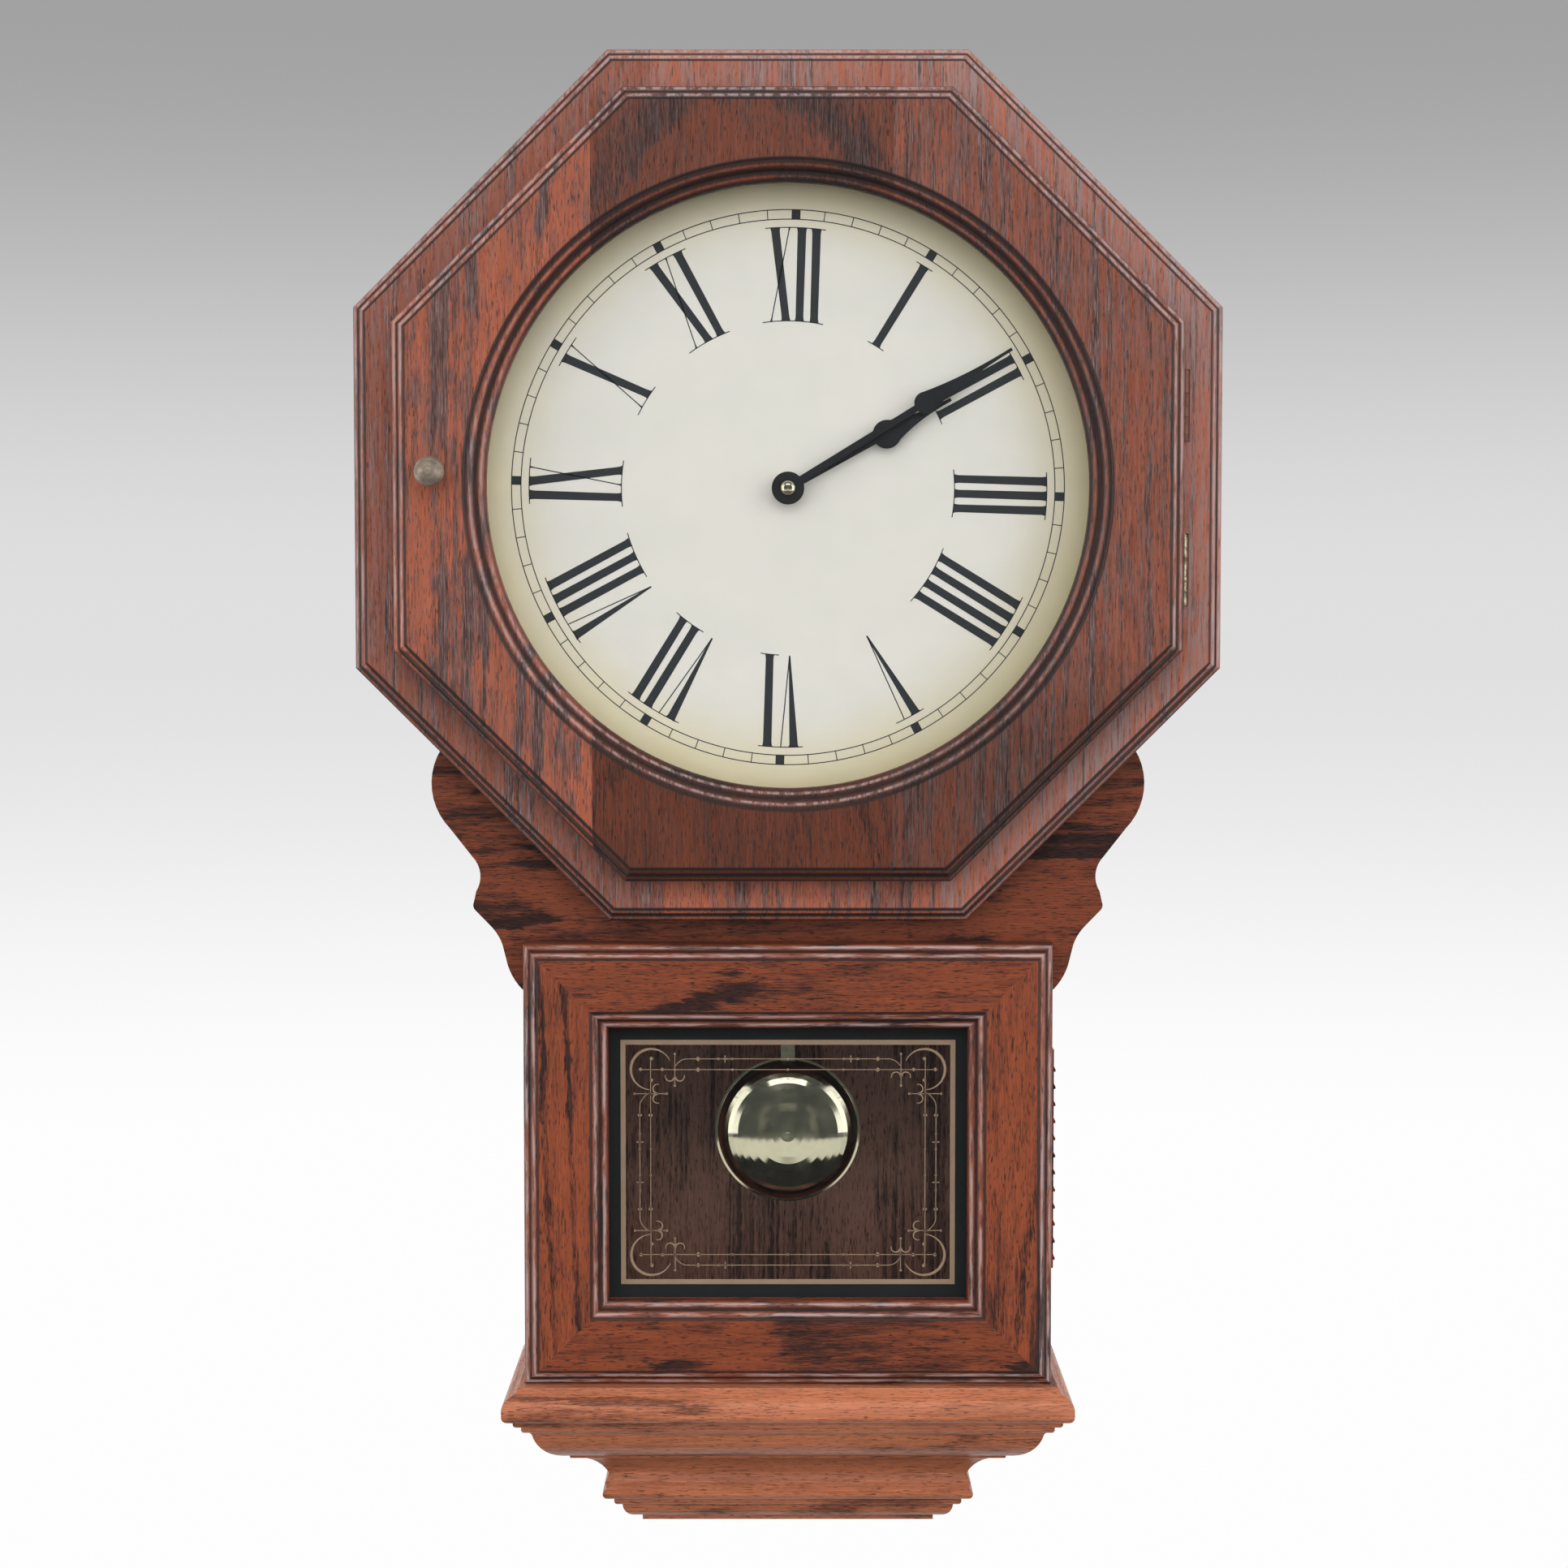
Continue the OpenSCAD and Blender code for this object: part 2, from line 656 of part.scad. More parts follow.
module glass_beads() color(oak) {
    bead_half = pane_half - pane_seat_w;
    for (s = [-1, 1])
        block([s * pane_half, case_d + 0.5, pane_bottom], [s * bead_half, pane_off, pane_top]);
    for (h = [pane_bottom, pane_top - pane_seat_w])
        block([-bead_half + 0.1, case_d + 0.5, h], [bead_half - 0.1, pane_off, h + pane_seat_w]);
}

// Base: (setback from the nose, height) outlines, with the origin of height at the top of the base,
// drawn in shares of the moulding's height

function grown(points, k) = [for (p = points) p * k];

base_profile = concat(
    [[base_strip_w, 0]],
    grown(concat(
        [[0.189, 0], [0.174, -0.016], [0.174, -0.053]],
        arc([0.163, -0.247], 0.163, 108, 186, 7), arc([0.095, -0.311], 0.095, 190, 262, 5),
        [[0.121, -0.411]], arc([0.182, -0.432], 0.053, 170, 265, 4),
        [[0.221, -0.495]], arc([0.274, -0.521], 0.053, 165, 265, 4),
        [[0.313, -0.584]], arc([0.83, -0.49], 0.505, 194, 262, 8),
        [[0.789, -1]]
    ), base_rise),
    [[base_strip_w, -base_rise]]
);

corbel_profile = concat(
    [[corbel_inner, 0]],
    grown(concat(
        [[0.79, 0]], arc([0.74, -0.605], 0.578, 84, 27, 8),
        [[1.256, -0.362]], arc([0.932, -0.541], 0.292, 15, -2, 3),
        arc([1.259, -0.611], 0.078, 172, 268, 5),
        [[1.322, -0.692]], arc([1.378, -0.738], 0.057, 172, 268, 4),
        [[1.416, -0.8]], arc([1.622, -0.8], 0.2, 184, 258, 6)
    ), corbel_rise),
    [[corbel_inner, -corbel_rise]]
);

// Trapezoids that cut the mitres, in (x, -distance from the wall)
module front_mitre(low, high, strip) post_z(low - 1, high + 1) polygon([
    [-base_half_w, -base_d], [base_half_w, -base_d],
    [base_half_w - strip, -base_d + strip], [-base_half_w + strip, -base_d + strip]
]);

module side_mitre(low, high, strip) post_z(low - 1, high + 1) polygon([
    [base_half_w, 0], [base_half_w, -base_d],
    [base_half_w - strip, -base_d + strip], [base_half_w - strip, 0]
]);

module front_strip(profile, top, low, strip) intersection() {
    bar_x(2 * base_half_w + 2) polygon([for (p = profile) [-base_d + p.x, top + p.y]]);
    front_mitre(low, top, strip);
}

module side_strip(profile, top, low, strip) intersection() {
    slab(-1, base_d + 2) polygon([for (p = profile) [base_half_w - p.x, top + p.y]]);
    side_mitre(low, top, strip);
}

module base_front() color(oak_light) front_strip(base_profile, base_h, corbel_h, base_strip_w);
module base_right() color(oak_light) side_strip(base_profile, base_h, corbel_h, base_strip_w);
module base_left() color(oak_light) mirror([1, 0, 0]) base_right();
module corbel_front() color(oak_light) front_strip(corbel_profile, corbel_h, plate_h, corbel_inner);
module corbel_right() color(oak_light) side_strip(corbel_profile, corbel_h, plate_h, corbel_inner);
module corbel_left() color(oak_light) mirror([1, 0, 0]) corbel_right();

plate_in = 1.67 * corbel_rise;
module corbel_bottom() color(oak_light)
    block([-base_half_w + plate_in, 0, plate_h - corbel_plate_t],
          [base_half_w - plate_in, base_d - plate_in, plate_h]);

// Gear teeth: a 25 degree involute with short teeth and a little backlash

press_angle = 25;
tooth_add = 0.8;
tooth_ded = 1.05;
tooth_play = 1.6;

function inv(a) = tan(a) * 180 / PI - a;
function gear_half(z, m, r) =
    let (rb = z * m / 2 * cos(press_angle))
    90 / z - tooth_play * 3 / z + inv(press_angle) - inv(acos(min(1, rb / max(r, rb))));
function gear_points(z, m, phase) =
    let (rp = z * m / 2, rs = [rp - tooth_ded * m, rp - 0.2 * m, rp + tooth_add * m])
    [for (k = [0:z - 1]) for (j = [0:5])
        let (r = rs[j < 3 ? j : 5 - j], a = phase + k * 360 / z + (j < 3 ? -1 : 1) * gear_half(z, m, r))
        r * [cos(a), sin(a)]];

// Phase of a wheel of zb teeth that meshes with one of za teeth, in the direction dir from it
function mesh_phase(dir, za, phase_a, zb) = dir + 180 + 180 / zb - (phase_a - dir) * za / zb;

module gear(at, off, t, z, m, phase) slab(off, t) translate(at) polygon(gear_points(z, m, phase));

// Movement

off_front = case_d;
off_rear = case_d - move_d;
off_a = off_front - 5;
off_b = off_front - 8;
off_c = off_front - 11.5;
off_dd = off_front - 15.5;
cannon_z = 15;
minute_z = 45;
pinion_z = 12;
hour_z = 48;
centre_z = 80;
third_pinion_z = 10;
third_z = 72;
knob_z = 15;
motion_dist = (cannon_z + minute_z) * motion_m / 2;
third_dist = (centre_z + third_pinion_z) * train_m / 2;
minute_dir = 90;
third_dir = 210;
knob_dir = 150;
minute_at = motion_dist * [cos(minute_dir), sin(minute_dir)];
third_at = third_dist * [cos(third_dir), sin(third_dir)];
knob_at = minute_at + motion_dist * [cos(knob_dir), sin(knob_dir)];
tube_r = arbor_r + run_gap + tube_wall;
post_r = 1.1;
third_arbor_r = 0.8;
minute_phase = mesh_phase(minute_dir, cannon_z, 0, minute_z);

plane_hour = dial_front + 4;
plane_minute = plane_hour + hand_t + 1.8;
bushing_end = plane_hour - 0.6;
arbor_end = plane_minute + hand_t + 2.2;

module movement_front() color(black) difference() {
    union() {
        slab(off_front - move_wall, move_wall) translate([-move_w / 2, -move_low])
            square([move_w, move_top + move_low]);
        pin(0, 0, off_front - move_wall, bushing_end, bushing_r);
        pin(minute_at.x, minute_at.y, off_b - 0.6, off_front - move_wall, post_r);
    }
    pin(0, 0, off_front - move_wall - 1, bushing_end + 1, tube_r + run_gap);
    pin(third_at.x, third_at.y, off_front - move_wall - 1, off_front - 0.8, third_arbor_r + run_gap);
    pin(0, -pivot_low, off_front - move_wall - 1, off_front - 0.8, pivot_r + run_gap);
    pin(knob_at.x, knob_at.y, off_front - move_wall - 1, off_front - 0.8, knob_arbor_r + run_gap);
}

knob_arbor_r = 1.2;
bay_w = cell_r * 2 + 1.5;
bay_x = move_w / 2 - move_wall - bay_w / 2;
bay_low = -24;
bay_high = bay_low + cell_len + 5;
bay_floor = off_rear + 2 * cell_r + 2.5;
cell_off = bay_floor - cell_r - 0.1;
cell_lift = 2.4;
cell_nub = 1.1;
pivot_r = 1;
slot_half = 9;
switch_x = 12;
switch_h = 30;
switch_travel = 6;
switch_w = 4;

module movement_rear() color([0.16, 0.16, 0.17]) difference() {
    slab(off_rear, move_d - move_wall) translate([-move_w / 2, -move_low])
        square([move_w, move_top + move_low]);
    // Train chamber
    block([-bay_x + bay_w / 2 + move_wall, off_rear + move_wall, -pivot_low + 9],
          [bay_x - bay_w / 2 - move_wall, off_front, move_top - move_wall]);
    // Battery bays, open at the back
    for (s = [-1, 1])
        block([s * bay_x - bay_w / 2, off_rear - 1, bay_low], [s * bay_x + bay_w / 2, bay_floor, bay_high]);
    // Pendulum chamber, open at the bottom
    block([-26, off_rear + move_wall, -move_low + move_wall], [26, off_front, -pivot_low + 9 - move_wall]);
    block([-slot_half, arm_off - 1.5, -move_low - 1], [slot_half, arm_off + arm_t + 1.5, -move_low + 4]);
    // Bearings
    pin(0, 0, off_rear + 0.8, off_front, arbor_r + run_gap);
    pin(third_at.x, third_at.y, off_rear + 0.8, off_front, third_arbor_r + run_gap);
    pin(0, -pivot_low, off_rear + 0.8, off_front, pivot_r + run_gap);
    pin(knob_at.x, knob_at.y, off_rear - 1, off_front, knob_arbor_r + run_gap);
    // Slot of the chime switch
    block([switch_x - switch_w / 2 - 0.3, off_rear - 1, switch_h - 1.6],
          [switch_x + switch_w / 2 + switch_travel + 0.3, off_rear + move_wall + 1, switch_h + 1.6]);
}

module bushing_nut() color(brass) difference() {
    slab(dial_front, 2.5) circle(r = 7.2, $fn = 6);
    pin(0, 0, dial_front - 1, dial_front + 4, bushing_r + run_gap);
}

module minute_arbor() color([0.80, 0.80, 0.78]) {
    pin(0, 0, off_rear + 1, arbor_end, arbor_r);
    gear([0, 0], off_b, wheel_t, cannon_z, motion_m, 0);
    gear([0, 0], off_c, wheel_t, centre_z, train_m, 0);
}

module minute_wheel() color([0.88, 0.86, 0.80]) difference() {
    union() {
        gear(minute_at, off_b, wheel_t, minute_z, motion_m, minute_phase);
        gear(minute_at, off_b + wheel_t, off_a - off_b, pinion_z, motion_m, 0);
    }
    pin(minute_at.x, minute_at.y, off_b - 1, off_front, post_r + run_gap);
}

module hour_wheel() color([0.88, 0.86, 0.80]) difference() {
    union() {
        gear([0, 0], off_a, wheel_t, hour_z, motion_m, mesh_phase(minute_dir + 180, pinion_z, 0, hour_z));
        pin(0, 0, off_a, plane_hour + hand_t + 0.5, tube_r);
    }
    pin(0, 0, off_a - 1, plane_minute, arbor_r + run_gap);
}

module third_wheel() color([0.88, 0.86, 0.80]) {
    pin(third_at.x, third_at.y, off_rear + 1, off_front - 1, third_arbor_r);
    gear(third_at, off_c - 0.5, wheel_t + 1.5, third_pinion_z, train_m,
         mesh_phase(third_dir, centre_z, 0, third_pinion_z));
    gear(third_at, off_dd, wheel_t, third_z, train_m, 0);
    pin(third_at.x, third_at.y, off_dd, off_c, 1.4);
}

module set_knob() color(black) {
    pin(knob_at.x, knob_at.y, off_rear - 2, off_front - 1, knob_arbor_r);
    gear(knob_at, off_b, wheel_t, knob_z, motion_m,
         mesh_phase(knob_dir, minute_z, minute_phase, knob_z));
    slab(off_rear - 8, 7.5) translate(knob_at) difference() {
        circle(set_knob_r);
        for (i = [0:17]) rotate(i * 20) translate([set_knob_r + 0.25, 0]) circle(0.6, $fn = 16);
    }
}

block_x = -bay_x + bay_w / 2 + move_wall;
module motor_block() color([0.55, 0.30, 0.14]) {
    difference() {
        block([block_x + 0.1, off_rear + move_wall, -24], [-14.2, off_b - 1, 8]);
        block([block_x + 2, off_dd - 0.6, -19.5], [-13, off_dd + wheel_t + 0.6, 6.5]);
    }
    translate([block_x + 7, -(off_rear + 8), dial_z + 8]) cylinder(h = 20, r = 4.5);
}

module battery_cells() color([0.72, 0.55, 0.25]) for (s = [-1, 1])
    translate([s * bay_x, -cell_off, dial_z + bay_low + cell_lift]) {
        cylinder(h = cell_len - cell_nub, r = cell_r);
        translate([0, 0, s > 0 ? 0 : -cell_nub]) cylinder(h = cell_len, r = 2.7);
    }

module battery_contacts() color([0.80, 0.80, 0.82]) for (s = [-1, 1]) {
    block([s * bay_x - 5, cell_off - 5, bay_low], [s * bay_x + 5, cell_off + 5, bay_low + 0.4]);
    block([s * bay_x - 5, cell_off - 5, bay_high - 0.4], [s * bay_x + 5, cell_off + 5, bay_high]);
    low = cell_lift - 0.5 - (s > 0 ? 0 : cell_nub);
    high = bay_high - bay_low - cell_lift - cell_len - 0.5 + (s > 0 ? 0 : cell_nub);
    translate([s * bay_x, -cell_off, dial_z + bay_low + 0.4]) cylinder(h = low, r1 = 4, r2 = 2.4);
    translate([s * bay_x, -cell_off, dial_z + bay_high - 0.4 - high]) cylinder(h = high, r1 = 2.4, r2 = 4);
}

module chime_switch() color([0.75, 0.12, 0.10]) {
    block([switch_x - switch_w / 2, off_rear - 2.5, switch_h - 1.3],
          [switch_x + switch_w / 2, off_rear + move_wall + 0.3, switch_h + 1.3]);
    block([switch_x - 3.4, off_rear + move_wall + 0.2, switch_h - 3],
          [switch_x + 3.4, off_rear + move_wall + 1.6, switch_h + 3]);
}

// Pendulum

arm_off = off_rear + 6;
arm_t = 3;
hook_low = move_low + 9;
hook_bar = 2.5;
hook_w = 3;
rod_off = arm_off + arm_t + 0.1 + rod_t / 2;

module pendulum_arm() color(black) {
    pin(0, -pivot_low, off_rear + 1, off_front - 1, pivot_r);
    slab(arm_off, arm_t) difference() {
        union() {
            translate([0, -pivot_low]) circle(4.5);
            translate([-4, -hook_low]) square([8, hook_low - pivot_low]);
            translate([-9, -pivot_low - 15]) square([18, 6]);
        }
        translate([-hook_w / 2 - 0.2, -hook_low + hook_bar]) square([hook_w + 0.4, 2.6]);
    }
}

module pendulum_rod() color(brass) {
    slab(rod_off - rod_t / 2, rod_t) translate([-rod_w / 2, -bob_low])
        square([rod_w, bob_low - hook_low - 4]);
    // Hook over the lower bar of the arm's window
    slab(rod_off - rod_t / 2, rod_t) translate([-hook_w / 2, -hook_low - 5])
        square([hook_w, hook_bar + rod_t + 5]);
    block([-hook_w / 2, arm_off - rod_t - 0.1, -hook_low + hook_bar],
          [hook_w / 2, rod_off + rod_t / 2, -hook_low + hook_bar + rod_t]);
    block([-hook_w / 2, arm_off - rod_t - 0.1, -hook_low - 0.5],
          [hook_w / 2, arm_off - 0.1, -hook_low + hook_bar + rod_t]);
}

bob_rim = 1.2;
bob_wall = 1.2;
bob_behind = 4.5;
dome_foot = 3.4 - bob_behind;
dome_rise = bob_t - 3.4;
rib_side = 2.5;
rib_half_t = 3;

// Points of the dome's outline, drawn in by a wall
function dome(inset) = [for (i = [0:14])
    [(bob_r - 1 - inset) * cos(i * 90 / 14), dome_foot + (dome_rise - inset) * sin(i * 90 / 14)]];

module bob_turned() translate([0, -rod_off, dial_z - bob_low]) rotate([90, 0, 0])
    rotate_extrude() children();

// A domed shell with a rib across its back, slotted for the rod
module pendulum_bob() color(brass) difference() {
    bob_turned() polygon(concat(
        [[0, -bob_behind], [bob_r - 3, -bob_behind], [bob_r, -bob_behind + 2]],
        [[bob_r, -bob_behind + 2 + bob_rim]], dome(0)
    ));
    difference() {
        bob_turned() polygon(concat(
            [[0, -bob_behind - 1], [bob_r - 3 - bob_wall, -bob_behind - 1]], dome(bob_wall)
        ));
        block([-rod_w / 2 - rib_side, rod_off - rib_half_t, -bob_low - bob_r],
              [rod_w / 2 + rib_side, rod_off + rib_half_t, -bob_low + bob_r]);
    }
    slab(rod_off - rod_t / 2 - 0.05, rod_t + 0.1) translate([-rod_w / 2 - 0.05, -bob_low])
        square([rod_w + 0.1, bob_r + 2]);
}

// Hands: drawn upright, then turned to the time

module hand_shape(length, at, r, tip_w) {
    // Arm
    polygon([[-arm_w / 2, 0], [arm_w / 2, 0], [arm_w / 2 - 0.3, at], [-arm_w / 2 + 0.3, at]]);
    // Round and its hollow taper to the tip
    translate([0, at]) circle(r);
    polygon(concat(
        [for (i = [0:8]) [spade_w(i / 8, r, tip_w), at + (length - at) * i / 8]],
        [for (i = [8:-1:0]) [-spade_w(i / 8, r, tip_w), at + (length - at) * i / 8]]
    ));
    circle(hand_hub_r);
}

// Half width of a hand between its round and its tip
function spade_w(u, r, tip_w) = tip_w / 2 + (r - tip_w / 2) * pow(1 - u, 2.2) * cos(u * 30);

module minute_hand() color(black) difference() {
    slab(plane_minute, hand_t) rotate(-minute_angle)
        hand_shape(minute_len, minute_round_at, minute_round_r, 1.4);
    pin(0, 0, plane_minute - 1, plane_minute + 2, arbor_r);
}

module hour_hand() color(black) difference() {
    slab(plane_hour, hand_t) rotate(-hour_angle)
        hand_shape(hour_len, hour_round_at, hour_round_r, 1.6);
    pin(0, 0, plane_hour - 1, plane_hour + 2, tube_r + 0.01);
}

nut_r = 3.4;
module hand_nut() color(brass) difference() {
    turned() polygon(concat(
        [[0, plane_minute + hand_t], [nut_r, plane_minute + hand_t], [nut_r, plane_minute + hand_t + 1]],
        [for (i = [1:8]) [nut_r * cos(i * 90 / 8), plane_minute + hand_t + 1 + 2 * sin(i * 90 / 8)]]
    ));
    pin(0, 0, plane_minute, arbor_end, arbor_r);
}

// Sound

grille_mid = grille_off + grille_w / 2;
louvre_pitch = (grille_h - 6) / louvres;
grille_frame_t = grille_t - 1;

module side_grille() color(oak) translate([case_half, -grille_off, dial_z - grille_low]) {
    // Frame
    difference() {
        translate([0, -grille_w, -grille_h / 2]) cube([grille_frame_t, grille_w, grille_h]);
        translate([-1, -grille_w + 5, -grille_h / 2 + 5]) cube([grille_t + 1, grille_w - 10, grille_h - 10]);
    }
    // Louvres
    for (i = [0:louvres - 1])
        translate([0, -2, -grille_h / 2 + 3 + i * louvre_pitch]) rotate([90, 0, 0])
            linear_extrude(grille_w - 4) polygon([
                [1, louvre_pitch * 0.6], [3, louvre_pitch * 0.55], [grille_t - 1, 0.4], [grille_t, 0.4],
                [grille_t, 1.4], [3, louvre_pitch * 0.55 + 1.3], [1, louvre_pitch * 0.6 + 1.3]
            ]);
}

module speaker() color([0.12, 0.12, 0.13])
    translate([case_in, -grille_mid, dial_z - grille_low]) rotate([0, -90, 0]) rotate_extrude() polygon([
        [0, 19], [0, 12], [8, 6.5], [speaker_r - 4, 1.2], [speaker_r - 2.6, 0], [speaker_r + 5, 0],
        [speaker_r + 5, 1.6], [speaker_r - 2, 1.6], [14, 9], [14, 19]
    ]);

back_panel();
left_side();
right_side();
case_top();
case_bottom();
ear_board();
hanger_plate();
hanger_screws();
surround_left();
surround_right();
surround_top();
surround_bottom();
dial_board();
dial_plate();
door_left_stile();
door_right_stile();
door_top_block();
door_bottom_block();
dial_glass();
glazing_ring();
door_knob();
knob_screw();
hinge_leaf_door();
hinge_leaf_case();
hinge_pins();
door_catch();
catch_plate();
frame_top_rail();
frame_bottom_rail();
frame_left_stile();
frame_right_stile();
lower_glass();
glass_beads();
base_front();
base_left();
base_right();
corbel_front();
corbel_left();
corbel_right();
corbel_bottom();
movement_front();
movement_rear();
bushing_nut();
minute_arbor();
minute_wheel();
hour_wheel();
third_wheel();
set_knob();
motor_block();
battery_cells();
battery_contacts();
chime_switch();
pendulum_arm();
pendulum_rod();
pendulum_bob();
minute_hand();
hour_hand();
hand_nut();
speaker();
side_grille();
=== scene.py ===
"""Studio scene of an octagon wall clock with a glazed dial door and a pendulum window.

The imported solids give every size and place. This script dresses them: it gives each board its
timber, each fitting its metal, plastic or glass, prints the dial and paints the lower glass. All
drawing is done in millimetres as (x, distance from the wall, height over the dial centre), and
becomes metres in the clock's own frame where a mesh is made.
"""

from __future__ import annotations

import json
import logging
import math
from dataclasses import dataclass
from enum import Enum
from functools import partial
from typing import Callable, Sequence

import bmesh
import bpy
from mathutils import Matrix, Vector

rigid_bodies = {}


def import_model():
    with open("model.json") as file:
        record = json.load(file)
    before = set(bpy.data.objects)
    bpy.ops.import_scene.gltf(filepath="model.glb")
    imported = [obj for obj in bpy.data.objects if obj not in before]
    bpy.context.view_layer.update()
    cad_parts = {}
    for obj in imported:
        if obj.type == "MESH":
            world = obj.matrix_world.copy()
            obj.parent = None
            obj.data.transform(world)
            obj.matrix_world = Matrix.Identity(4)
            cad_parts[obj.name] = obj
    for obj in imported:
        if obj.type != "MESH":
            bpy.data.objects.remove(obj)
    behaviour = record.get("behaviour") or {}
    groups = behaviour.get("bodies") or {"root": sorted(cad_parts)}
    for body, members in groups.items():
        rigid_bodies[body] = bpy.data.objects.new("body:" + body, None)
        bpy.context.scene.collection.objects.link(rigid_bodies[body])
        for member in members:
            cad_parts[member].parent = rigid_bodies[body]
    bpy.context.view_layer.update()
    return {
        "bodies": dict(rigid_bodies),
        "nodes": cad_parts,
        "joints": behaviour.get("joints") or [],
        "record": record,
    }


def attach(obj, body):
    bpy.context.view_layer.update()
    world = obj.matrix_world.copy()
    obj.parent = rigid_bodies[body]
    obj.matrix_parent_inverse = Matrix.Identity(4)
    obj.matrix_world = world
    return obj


LOG = logging.getLogger("clock")
MM = 0.001
DIAL_HEIGHT = -112.0

Point2 = tuple[float, float]
Triple = tuple[float, float, float]


class Grain(Enum):
    """The way that a board's grain runs, as the row axes for (across, depth, along)."""

    UPRIGHT = (0, 1, 2)
    LEVEL = (2, 1, 0)
    INWARD = (2, 0, 1)


class Kind(Enum):
    """The kinds of socket that a shared group has."""

    VALUE = "NodeSocketFloat"
    COLOUR = "NodeSocketColor"
    VECTOR = "NodeSocketVector"


class Outline(Enum):
    """The outlines that a moulding follows."""

    OCTAGON = "octagon"
    ROUND = "round"
    FRAME = "frame"


@dataclass(frozen=True, eq=False)
class Signal:
    """A value that a node puts out, on which sums can be written."""

    graph: Graph
    socket: bpy.types.NodeSocket

    def __add__(self, other: Signal | float) -> Signal:
        """Add another value."""
        return self.graph.math("ADD", self, other)

    def __sub__(self, other: Signal | float) -> Signal:
        """Take another value away."""
        return self.graph.math("SUBTRACT", self, other)

    def __rsub__(self, other: float) -> Signal:
        """Take this value away from a number."""
        return self.graph.math("SUBTRACT", other, self)

    def __mul__(self, other: Signal | float) -> Signal:
        """Multiply by another value."""
        return self.graph.math("MULTIPLY", self, other)

    def __truediv__(self, other: Signal | float) -> Signal:
        """Divide by another value."""
        return self.graph.math("DIVIDE", self, other)

    def __abs__(self) -> Signal:
        """Drop the sign."""
        return self.graph.math("ABSOLUTE", self)

    def at_least(self, other: Signal | float) -> Signal:
        """Give the larger of two values."""
        return self.graph.math("MAXIMUM", self, other)

    def at_most(self, other: Signal | float) -> Signal:
        """Give the smaller of two values."""
        return self.graph.math("MINIMUM", self, other)


